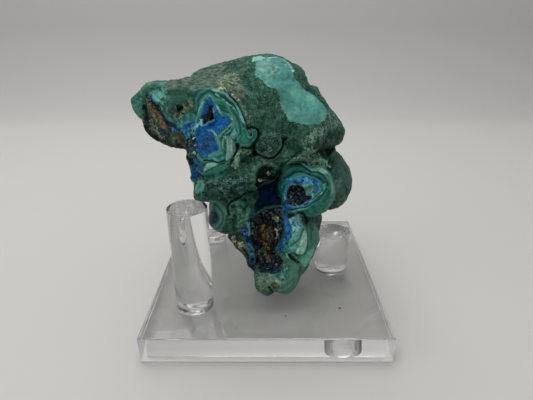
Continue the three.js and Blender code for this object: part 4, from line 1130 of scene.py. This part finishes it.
        (66, 100, 86), (50, 82, 68), (60, 94, 80), (77, 107, 93)]),
    ("base_teal", 0.5, 0.4, 0.5, 0.6, 1.3, "mottle", [(33, 55, 54), (56, 86, 79), (80, 113, 105)]),
    ("cyan_slip", 0.4, 0.3, 0.5, 0.4, 1.25, "mottle", [(42, 85, 76), (59, 104, 98), (76, 123, 118)]),
    ("tip_left", 0.3, 0.2, 0.5, 0.5, 1.05, "marble", [(37, 61, 50), (56, 80, 67), (87, 105, 92)]),
    ("tip_tan", 0.6, 0.5, 0.6, 0.8, 1.4, "marble", [(53, 68, 56), (84, 98, 80), (66, 80, 68),
        (97, 116, 100)]),
    ("tip_mint", 0.5, 0.3, 0.6, 0.6, 1.55, "mottle", [(60, 82, 70), (84, 108, 93), (103, 128, 112)]),
    ("lobe_side", 0.8, 0.2, 0.6, 0.6, 1.25, "mottle", [(54, 74, 66), (74, 96, 90)]),
    # small marks all over
    ("dull_blues", 0.3, 0.3, 0.5, 0.7, 1.4, "mottle", [(10, 28, 48), (24, 46, 72), (37, 62, 80)]),
    ("navy_bits", 0.4, 0.4, 0.5, 1, 0.8, "grain", [(6, 11, 24), (22, 30, 44), (40, 56, 70)]),
    ("azure_bits", 0.25, 0.3, 0.5, 0.8, 1.5, "mottle", [(14, 44, 76), (30, 72, 112), (52, 98, 130)]),
    ("slate_bits", 0.3, 0.4, 0.5, 1, 1.4, "grain", [(24, 40, 46), (44, 66, 74), (63, 88, 96)]),
    # sky_bits include the painted highlights left_cyan and left_glint
    ("sky_bits", 0.25, 0.3, 0.45, 0.5, 1, "mottle", [(44, 88, 110), (76, 122, 140), (96, 140, 148)]),
    ("rusty_lines", 0.4, 0.4, 0.7, 0.8, 1.95, "mottle", [(34, 34, 25), (56, 52, 40)]),
    ("cream_bits", 0.3, 0.3, 0.6, 0.9, 1.7, "mottle", [(66, 66, 52), (108, 110, 90), (134, 138, 115)]),
    ("caps", 0.5, 0.3, 0.5, 0.3, 1, "mottle", [(80, 124, 110), (100, 146, 132), (120, 170, 156)]),
    ("mint_lines", 0.2, 0.12, 0.45, 0.3, 1, "mottle", [(58, 108, 96), (84, 136, 122), (106, 158, 144)]),
    ("green_lines", 0.3, 0.12, 0.5, 0.4, 1, "mottle", [(34, 66, 62), (48, 88, 80)]),
    ("grey_lines", 0.3, 0.15, 0.6, 0.6, 1, "mottle", [(56, 76, 69), (86, 108, 98)]),
    ("deep_lines", 0.35, 0.12, 0.5, 0.4, 1, "mottle", [(8, 30, 28), (22, 56, 50)]),
    # black_lines and black_bits are dark cracks and pits, and also painted shadows along the rim and under
    # the flap
    ("black_lines", 0.3, 0.15, 0.7, 0.6, 1, "mottle", [(10, 18, 16), (30, 40, 36)]),
    ("black_bits", 0.35, 0.4, 0.6, 1, 1, "mottle", [(6, 10, 12), (26, 34, 34)]),
    ("shell_crack", 0.3, 0.2, 0.7, 0.8, 1, "mottle", [(18, 24, 18), (45, 52, 40), (75, 84, 66)]),
    ("glints", 0.2, 0.3, 0.3, 0.4, 1, "mottle", [(70, 90, 96), (100, 120, 124)]),
    # painted shadow in the gap below the eye
    ("eye_gap_shadow", 0.5, 0.2, 0.8, 0.5, 1, "mottle", [(3, 8, 8), (17, 29, 26)]),
]


def stone_textures(tree):
    """The textures that every layer shares, each from 0 to 1."""
    in_mm = add(tree, "Mapping", {"Vector": object_place(tree), "Scale": (1 / MM,) * 3}).outputs[0]
    lean = {"Vector": in_mm, "Rotation": (0, math.radians(-35), 0), "Scale": (1.6, 1.6, 0.28)}
    leaning = add(tree, "Mapping", lean).outputs[0]

    def noise(vector, scale, detail, low=0.36, high=0.64, **more):
        made = add(tree, "TexNoise", {"Vector": vector, "Scale": scale, "Detail": detail, **more})
        return spread(tree, made.outputs["Fac"], low, high)

    def specks(scale, share, size):
        """Round specks: 1 inside those cells of a mosaic that are in the share, and near their middles."""
        cells = add(tree, "TexVoronoi", {"Vector": in_mm, "Scale": scale})
        pick = add(tree, "SeparateColor", {0: cells.outputs["Color"]})
        chosen = calculate(tree, "LESS_THAN", pick.outputs[0], share)
        round_edge = spread(tree, cells.outputs["Distance"], size, size * 0.5)
        return times(tree, chosen, round_edge), pick.outputs[1]

    pale_specks, facets = specks(1.5, 0.16, 0.42)
    return {
        "broad": noise(in_mm, 0.075, 5),
        "islands": noise(in_mm, 0.11, 6, Roughness=0.6, Distortion=0.6),
        "clouds": noise(in_mm, 0.16, 4),
        "mottle": noise(in_mm, 0.6, 5),
        "marble": noise(in_mm, 0.35, 3, 0.37, 0.63, Distortion=2.2),
        "ragged": noise(in_mm, 1.2, 5, Roughness=0.62),
        "grain": noise(in_mm, 2.4, 3),
        "drift": noise(in_mm, 0.28, 1.5, 0.25, 0.75),
        "streaks": noise(leaning, 0.9, 3),
        "facets": facets,
        "pale_specks": pale_specks,
        "pits": specks(1.15, 0.22, 0.4)[0],
        "fine_pits": specks(2.3, 0.2, 0.5)[0],
    }


def banded_tint(tree, textures, depth_of, share, follows, tints):
    """The tints in bands along the depth inside a marking, with fine pale and dark lines between them."""
    measured, low, high, wander = follows
    drift = times_plus(tree, textures["drift"], 2 * wander, -wander)
    banded = times_plus(tree, share, 0.05, calculate(tree, "ADD", depth_of(measured), drift))
    tint = gradient(tree, spread(tree, banded, low, high), tints)
    line = calculate(tree, "SINE", times_plus(tree, banded, FINE_BANDS, textures["mottle"]))
    pale_line = times(tree, times(tree, spread(tree, line, 0.55, 1), textures["clouds"]), PALE_LINES)
    tint = blend_colour(tree, pale_line, tint, tints[len(tints) // 2 - 1])
    return blend_colour(tree, times(tree, spread(tree, line, -0.75, -1), DARK_LINES), tint, INK)


def lay(tree, textures, depth_of, below, layer):
    """One layer over the finish below it: its colour, roughness and grain.

    Its edge is more ragged over a grainy finish, and its colour shifts a little from its edge inwards. So
    each layer waits for the one below it, and the renderer never has to hold all their colours at once.
    """
    marking, softness, ragged, rough, grain, strength, follows, tones = layer
    tints = [pigment(*tone, strength) for tone in tones]
    jagged = times_plus(tree, textures["ragged"], 2 * ragged, -ragged)
    unevenness = times_plus(tree, below[2], 0.3, 0.75)
    edge = calculate(tree, "MULTIPLY_ADD", jagged, unevenness, depth_of(marking))
    share = spread(tree, edge, -softness * EDGE_SHARE, softness * EDGE_SHARE, smooth=True)
    if isinstance(follows, str):
        tint = gradient(tree, times_plus(tree, share, 0.02, textures[follows]), tints)
    else:
        tint = banded_tint(tree, textures, depth_of, share, follows, tints)
    return (
        blend_colour(tree, share, below[0], tint),
        blend_value(tree, share, below[1], rough),
        blend_value(tree, share, below[2], grain),
    )


def crust(tree, textures, depth_of):
    """The green-grey crust under all the layers: fine grains over cloudy patches, dusty on the ridges."""
    patchy = times_plus(tree, textures["clouds"], 0.45, times(tree, textures["mottle"], 0.55))
    body = gradient(tree, patchy, CRUST_TONES)
    dusting = times(tree, spread(tree, depth_of("hollow_broad"), 0.05, -0.5), textures["ragged"])
    for dust in (dusting, textures["pale_specks"]):
        body = blend_colour(tree, times(tree, dust, DUSTING), body, CRUST_DUST)
    away = depth_of("away")
    for texture, start, full, strength, tint in BACK_PATCHES:
        patch = times(tree, spread(tree, textures[texture], start, full), times(tree, away, strength))
        body = blend_colour(tree, patch, body, tint)
    return body, CRUST_ROUGHNESS, times_plus(tree, away, -0.4, 1)


def grained_and_crease_shaded(tree, textures, depth_of, tint, grain):
    """Grains and pits, as strong as the finish is grainy, and painted shade in the creases, over everything.
    """
    strength = calculate(tree, "MINIMUM", grain, 1.6)
    uneven = calculate(tree, "ADD", times(tree, textures["grain"], 0.6), times(tree, textures["ragged"], 0.4))
    off_middle = calculate(tree, "SUBTRACT", uneven, 0.5)
    light = times_plus(tree, off_middle, times(tree, strength, GRAINS), 1)
    tint = blend_colour(tree, 1, tint, light, way="MULTIPLY")
    pits = calculate(tree, "MAXIMUM", textures["pits"], textures["fine_pits"])
    tint = blend_colour(tree, times(tree, times(tree, pits, strength), PITS), tint, INK)
    # painted shade: darker in fine creases and broad hollows
    fine_creases = spread(tree, depth_of("hollow_fine"), 0.02, 0.22)
    creases = calculate(tree, "ADD", fine_creases, spread(tree, depth_of("hollow_broad"), 0.25, 1.2))
    return blend_colour(tree, times(tree, calculate(tree, "MINIMUM", creases, 1), CREASE_SHADE_STRENGTH), tint, CREASE_SHADE_TINT)


def stone_material():
    material, tree, shader = new_material("malachite_and_azurite")
    textures = stone_textures(tree)
    attributes = {}

    def depth_of(marking):
        if marking not in attributes:
            attributes[marking] = value_at_points(tree, marking)
        return attributes[marking]

    finish = crust(tree, textures, depth_of)
    for layer in LAYERS:
        finish = lay(tree, textures, depth_of, finish, layer)
    tint, rough, grain = finish
    tint = grained_and_crease_shaded(tree, textures, depth_of, tint, grain)
    grains = calculate(tree, "ADD", textures["grain"], textures["ragged"])
    height = calculate(tree, "SUBTRACT", grains, textures["pits"])
    strength = times(tree, grain, 0.45)
    relief = add(tree, "Bump", {"Strength": strength, "Distance": 0.25 * MM, "Height": height}).outputs[0]
    feed(tree, shader, {"Base Color": tint, "Roughness": rough, "Specular IOR Level": 0.18, "Normal": relief})
    return material


def record_markings(stone, points):
    """Writes how far each point is inside each marking, for the material to read."""
    seen, facing = seen_from_show_side(stone, points, normals_of(stone))
    marked = np.nonzero(seen)[0]
    places = on_show_plane(points[marked])
    reach = 4 * (facing[marked] - 0.02)  # in mm: markings fade where the surface turns out of sight
    followed = [layer[6][0] for layer in LAYERS if isinstance(layer[6], tuple)]
    for name in dict.fromkeys([layer[0] for layer in LAYERS] + followed):
        depths = np.full(len(points), OUT_OF_REACH)
        depths[marked] = np.minimum(depth_in(name, places), reach)
        record(stone.data, name, depths)


def record_hollows(stone, points, edges):
    """Writes how far each point lies below its surroundings, in mm: over 0 in creases and under 0 on ridges.

    It also writes how far each point faces away from the show side, as 0 to 1.
    """
    normals = normals_of(stone)
    for name, rounds in (("hollow_fine", 6), ("hollow_broad", 60)):
        around = smoothed(points, edges, 0.5, rounds)
        record(stone.data, name, ((around - points) * normals).sum(1))
    record(stone.data, "away", ease(-(normals @ SHOW), -0.15, 0.35))


stone, points, edges = make_stone()
points = soften_crust(stone, points, edges)
points = pull_into_shape(stone, points)
points = sculpt(stone, points)
points = roughen(stone, points)
points = keep_in_box(smoothed(points, edges, 0.5, 1))
set_points(stone, points)
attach(stone, "root")
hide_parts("stone")
record_markings(stone, points)
record_hollows(stone, points, edges)
stone.data.materials.append(stone_material())


# ---------------------------------------------------------------- small crystals in the hollows
# Where they grow: marking, how many, the shortest and the longest of them in mm.
CRYSTAL_PLACES = [
    ("column_cavity", 620, 0.5, 1.3),
    ("eye_core", 150, 0.5, 1.1),
    ("star_vug", 60, 0.4, 0.9),
    ("dark_band", 110, 0.5, 1.2),
    ("star_speckled", 60, 0.4, 0.8),
    ("base_blue", 60, 0.4, 1),
    ("navy_flank", 60, 0.4, 0.9),
]
# None grow here.
BARE_PLACES = ["rust_core", "rust_granular", "rust_streaks", "cream_bits", "chip_green", "core_sliver"]
# The crystals' tones. The palest are partly pale chips and partly painted glints.
CRYSTAL_TONES = [
    (6, 8, 11), (12, 15, 19), (22, 27, 34), (9, 11, 15), (14, 18, 24), (34, 42, 50), (10, 13, 16),
    (14, 24, 42), (12, 14, 18), (8, 10, 13), (24, 42, 66), (14, 17, 21), (60, 70, 70), (108, 122, 112),
]
ROOTED = 0.3  # the share of a crystal's length that is inside the stone
OPEN_FACING = 0.15  # crystals grow where the surface faces the viewer more than this
CLEAR_OF_EDGE = 0.15  # mm inside their marking
CLEAR_OF_BARE = 0.1  # mm
SCATTER = 0.5  # how far they lean about at random
THINNEST, GIRTH_RANGE = 0.7, 0.9


def crystal_shape():
    """The corners and faces of one crystal: a six-sided prism, 1 long, that stands up and ends in an edge."""
    deselect_all()
    bpy.ops.mesh.primitive_cylinder_add(vertices=6, radius=0.3, depth=0.7, location=(0, 0, 0.35))
    crystal = bpy.context.object
    bpy.ops.object.mode_set(mode="EDIT")
    bpy.ops.mesh.select_all(action="DESELECT")
    bpy.ops.object.mode_set(mode="OBJECT")
    for face in crystal.data.polygons:
        face.select = face.normal.z > 0.5
    bpy.ops.object.mode_set(mode="EDIT")
    bpy.ops.mesh.extrude_region_move(TRANSFORM_OT_translate={"value": (0.05, 0, 0.3)})
    bpy.ops.transform.resize(value=(0.25, 0.7, 1), center_override=(0.05, 0, 1))
    bpy.ops.object.mode_set(mode="OBJECT")
    bpy.ops.object.transform_apply()
    corners, faces = taken_apart(crystal)
    return corners, sorted(faces)  # extruding leaves them in another order on each run


def turned_to(ways, spin):
    """Rotations that bring the z axis to each way, after a spin about it."""
    side = np.cross(ways, [0.31, 0.9, 0.3])
    side /= np.linalg.norm(side, axis=1)[:, None]
    third = np.cross(ways, side)
    across = side * np.cos(spin)[:, None] + third * np.sin(spin)[:, None]
    return np.stack([across, np.cross(ways, across), ways], axis=2)


def crystal_material():
    """Dark glossy azurite: nearly black, with some crystals tinted blue, teal or pale; the palest tints are
    partly pale chips and partly painted glints.
    """
    material, tree, shader = new_material("dark_crystals")
    shade = value_at_points(tree, "shade")
    noise = {"Vector": object_place(tree), "Scale": 1.5 / MM, "Detail": 2}
    clouding = add(tree, "TexNoise", noise).outputs["Fac"]
    share = times_plus(tree, spread(tree, clouding, 0.3, 0.7), 0.08, times(tree, shade, 0.94))
    feed(tree, shader, {
        "Base Color": gradient(tree, share, [pigment(*tone) for tone in CRYSTAL_TONES]),
        "Roughness": spread(tree, clouding, 0.7, 5),
        "IOR": 1.75,
    })
    return material


def grow_crystals(stone, points):
    """Stands crystals on the seen points of the hollows, turned out of the surface and about at random."""
    chance = np.random.default_rng(7)
    normals = normals_of(stone)
    seen, facing = seen_from_show_side(stone, points, normals)
    open_points = np.nonzero((seen > 0) & (facing > OPEN_FACING))[0]
    places = on_show_plane(points[open_points])
    bare = deepest_in(BARE_PLACES, places) > -CLEAR_OF_BARE
    open_points, places = open_points[~bare], places[~bare]
    roots, lengths = [], []
    for marking, count, shortest, longest in CRYSTAL_PLACES:
        fit = open_points[depth_in(marking, places) > CLEAR_OF_EDGE]
        count = min(count, len(fit))
        roots.append(chance.choice(fit, count, replace=False))
        lengths.append(shortest + (longest - shortest) * chance.random(count) ** 2)
    roots, lengths = np.concatenate(roots), np.concatenate(lengths)
    ways = normals[roots] + chance.normal(0, SCATTER, (len(roots), 3))
    ways /= np.linalg.norm(ways, axis=1)[:, None]
    turns = turned_to(ways, chance.random(len(roots)) * math.tau)
    girth = THINNEST + chance.random((len(roots), 2, 1)) * GIRTH_RANGE
    corners, faces = crystal_shape()
    shapes = corners[None] * np.concatenate([girth, np.ones((len(roots), 1, 1))], axis=1).transpose(0, 2, 1)
    shapes = np.einsum("nij,nkj->nki", turns, shapes * lengths[:, None, None])
    feet = points[roots] - normals[roots] * (ROOTED * lengths)[:, None]
    shapes = keep_in_box(shapes + feet[:, None])
    crystals = many_copies("hollow_crystals", shapes, faces, chance.random(len(roots)))
    crystals.data.materials.append(crystal_material())
    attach(crystals, "root")
    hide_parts("stone")


grow_crystals(stone, points)


# ---------------------------------------------------------------- crumbs that have come off the stone
# Where they lie on the plate, across and back, and how wide they are, all in mm.
CRUMBS = [(-27.3, -22.4, 0.7), (6, -28, 0.5), (23.7, -24.4, 0.8), (-9, -33.5, 0.35), (30.5, 2, 0.4)]
CRUMB_SHADE = 0.14  # as dark as the stone's dark crystals
CRUMB_SINK = 0.03  # mm that a crumb goes into the plate, so that no false gap shows
CRUMB_TURN = 1.3  # radians from one crumb's turn to the next one's


def crumb_shape():
    """The corners, in mm, and faces of an uneven grain about 1 mm wide."""
    deselect_all()
    bpy.ops.mesh.primitive_ico_sphere_add(subdivisions=2, radius=0.5 * MM, location=(0, 0, 0))
    crumb = bpy.context.object
    crumb.scale = (1, 0.75, 0.55)
    bpy.ops.object.transform_apply()
    bpy.ops.object.mode_set(mode="EDIT")
    bpy.ops.mesh.select_all(action="SELECT")
    bpy.ops.transform.vertex_random(offset=0.12 * MM, seed=5)
    bpy.ops.object.mode_set(mode="OBJECT")
    corners, faces = taken_apart(crumb)
    return corners / MM, faces


def drop_crumbs():
    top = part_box("base_plate")[1].z / MM
    shape, faces = crumb_shape()
    shapes = []
    for k, (across, back, width) in enumerate(CRUMBS):
        cos, sin = math.cos(k * CRUMB_TURN), math.sin(k * CRUMB_TURN)
        spun = shape @ np.array([[cos, sin, 0], [-sin, cos, 0], [0, 0, 1]]) * width
        shapes.append(spun + [across, back, top - spun[:, 2].min() - CRUMB_SINK])
    crumbs = many_copies("crumbs", np.array(shapes), faces, np.full(len(CRUMBS), CRUMB_SHADE))
    crumbs.data.materials.append(bpy.data.materials["dark_crystals"])
    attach(crumbs, "root")


drop_crumbs()


# ---------------------------------------------------------------- the acrylic stand
PLATE_EDGE = 0.4 * MM  # how far the plate's edges are rounded
PEG_EDGE = 0.25 * MM
CEMENTED = 0.05 * MM  # how far a peg's foot goes into the plate
SAWN_ABOVE = 9 * MM  # level faces above this are the pegs' sawn ends


def acrylic_material():
    """Clear cast acrylic with polished faces, faintly cloudy from handling. The pegs' ends are sawn."""
    material, tree, shader = new_material("clear_acrylic")
    place = object_place(tree)
    smears = add(tree, "TexNoise", {"Vector": place, "Scale": 90, "Detail": 3}).outputs["Fac"]
    height = add(tree, "SeparateXYZ", {0: place}).outputs["Z"]
    facing_up = add(tree, "SeparateXYZ", {0: add(tree, "NewGeometry").outputs["True Normal"]}).outputs["Z"]
    above = calculate(tree, "GREATER_THAN", height, SAWN_ABOVE)
    on_end = times(tree, above, calculate(tree, "GREATER_THAN", facing_up, 0.98))
    scratches = add(tree, "TexNoise", {"Vector": place, "Scale": 1800, "Detail": 2}).outputs["Fac"]
    frost = spread(tree, scratches, 0, 1.6)
    feed(tree, shader, {
        "Base Color": (0.995, 0.997, 0.997, 1),
        "Roughness": blend_value(tree, on_end, spread(tree, smears, 0.55, 4), frost),
        "Transmission Weight": 1,
        "IOR": 1.49,
    })
    return material


def finish_acrylic(piece, node, edge, acrylic):
    piece.name = node + "_clear"
    apply_modifier(piece, "BEVEL", width=edge, segments=3, limit_method="ANGLE", angle_limit=math.radians(60))
    make_active(piece)
    bpy.ops.object.shade_smooth_by_angle(angle=math.radians(40))
    bpy.ops.object.transform_apply()
    piece.data.materials.append(acrylic)
    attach(piece, "root")
    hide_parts(node)


def make_plate(acrylic):
    low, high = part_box("base_plate")
    deselect_all()
    bpy.ops.mesh.primitive_cube_add(size=1, location=(low + high) / 2, scale=high - low)
    bpy.ops.object.transform_apply(location=False, rotation=False, scale=True)
    finish_acrylic(bpy.context.object, "base_plate", PLATE_EDGE, acrylic)


def make_peg(node, acrylic):
    """A round bar whose foot is cemented a hair into the plate."""
    low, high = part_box(node)
    deselect_all()
    bpy.ops.mesh.primitive_cylinder_add(
        vertices=96, radius=(high.x - low.x) / 2, depth=high.z - low.z + CEMENTED,
        location=((low.x + high.x) / 2, (low.y + high.y) / 2, (low.z + high.z - CEMENTED) / 2),
    )
    finish_acrylic(bpy.context.object, node, PEG_EDGE, acrylic)


acrylic = acrylic_material()
make_plate(acrylic)
for node in ("peg_front_left", "peg_back_left", "peg_right"):
    make_peg(node, acrylic)


# ---------------------------------------------------------------- stage, light and camera
UNDER_PLATE = -0.1 * MM  # the paper lies a hair below the plate, with air between them
PAPER_FRONT = -0.9
FLOOR_DEPTH = 0.29  # from the stand back to where the paper starts to rise
BEND_RADIUS = 0.09
BEND_STEPS = 16
WALL_HEIGHT = 0.9
PAPER_HALF_WIDTH = 1.4
CAMERA_PLACE = (0, -0.1284, 0.0938)
SENSOR_WIDTH = 36  # mm
LENS = 27.02  # mm


def paper_material():
    """Pale paper, painted a little darker where it has risen into the wall: painted shade on the wall."""
    material, tree, shader = new_material("pale_paper")
    back = add(tree, "SeparateXYZ", {0: object_place(tree)}).outputs["Y"]
    # painted shade: the paper darkens from the floor into the wall
    shade = spread(tree, back, FLOOR_DEPTH - 0.05, FLOOR_DEPTH + BEND_RADIUS, smooth=True)
    tint = blend_colour(tree, shade, colour(229, 227, 223), colour(206, 205, 204))
    feed(tree, shader, {"Base Color": tint, "Roughness": 0.9})
    return material


def make_stage():
    """A sheet of pale paper that runs back along the table and bends up into the wall behind."""
    outline = [(PAPER_FRONT, 0), (FLOOR_DEPTH, 0)]
    for step in range(1, BEND_STEPS + 1):
        turn = math.pi / 2 * step / BEND_STEPS
        outline.append((FLOOR_DEPTH + BEND_RADIUS * math.sin(turn), BEND_RADIUS * (1 - math.cos(turn))))
    outline.append((FLOOR_DEPTH + BEND_RADIUS, WALL_HEIGHT))
    right, left = (
        [(side, y, z + UNDER_PLATE) for y, z in outline] for side in (PAPER_HALF_WIDTH, -PAPER_HALF_WIDTH)
    )
    count = len(outline)
    faces = [(i, i + 1, count + i + 1, count + i) for i in range(count - 1)]
    mesh = bpy.data.meshes.new("paper_sweep")
    mesh.from_pydata(right + left, [], faces)
    mesh.polygons.foreach_set("use_smooth", [True] * len(faces))
    mesh.materials.append(paper_material())
    new_object("paper_sweep", mesh)


def area_light(name, size, power, place, target=(0, 0, 0.05)):
    lamp = bpy.data.lights.new(name, "AREA")
    lamp.shape = "RECTANGLE"
    lamp.size, lamp.size_y = size
    lamp.energy = power
    holder = new_object(name, lamp)
    holder.location = place
    holder.rotation_euler = (Vector(target) - Vector(place)).to_track_quat("-Z", "Y").to_euler()


def make_world():
    world = bpy.data.worlds.new("soft_room")
    bpy.context.scene.world = world
    world.use_nodes = True
    background = world.node_tree.nodes["Background"]
    background.inputs["Color"].default_value = (1, 0.995, 0.985, 1)
    background.inputs["Strength"].default_value = 0.33


def make_camera():
    data = bpy.data.cameras.new("camera")
    data.sensor_width, data.lens = SENSOR_WIDTH, LENS
    data.clip_start = 0.005
    camera = new_object("camera", data)
    camera.location = CAMERA_PLACE
    camera.rotation_euler = (math.pi / 2 - VIEW_TILT, 0, 0)
    bpy.context.scene.camera = camera


make_stage()
make_world()
area_light("overhead", (0.7, 0.5), 1.95, (-0.1, 0.05, 0.6), (0, 0.05, 0))
area_light("from_left", (0.3, 0.4), 0.25, (-0.5, -0.25, 0.3))
make_camera()
scene = bpy.context.scene
scene.view_settings.view_transform = "Standard"
scene.cycles.max_bounces = 24  # light runs a long way inside the plate before it comes out
scene.cycles.glossy_bounces = 16
scene.cycles.transmission_bounces = 24
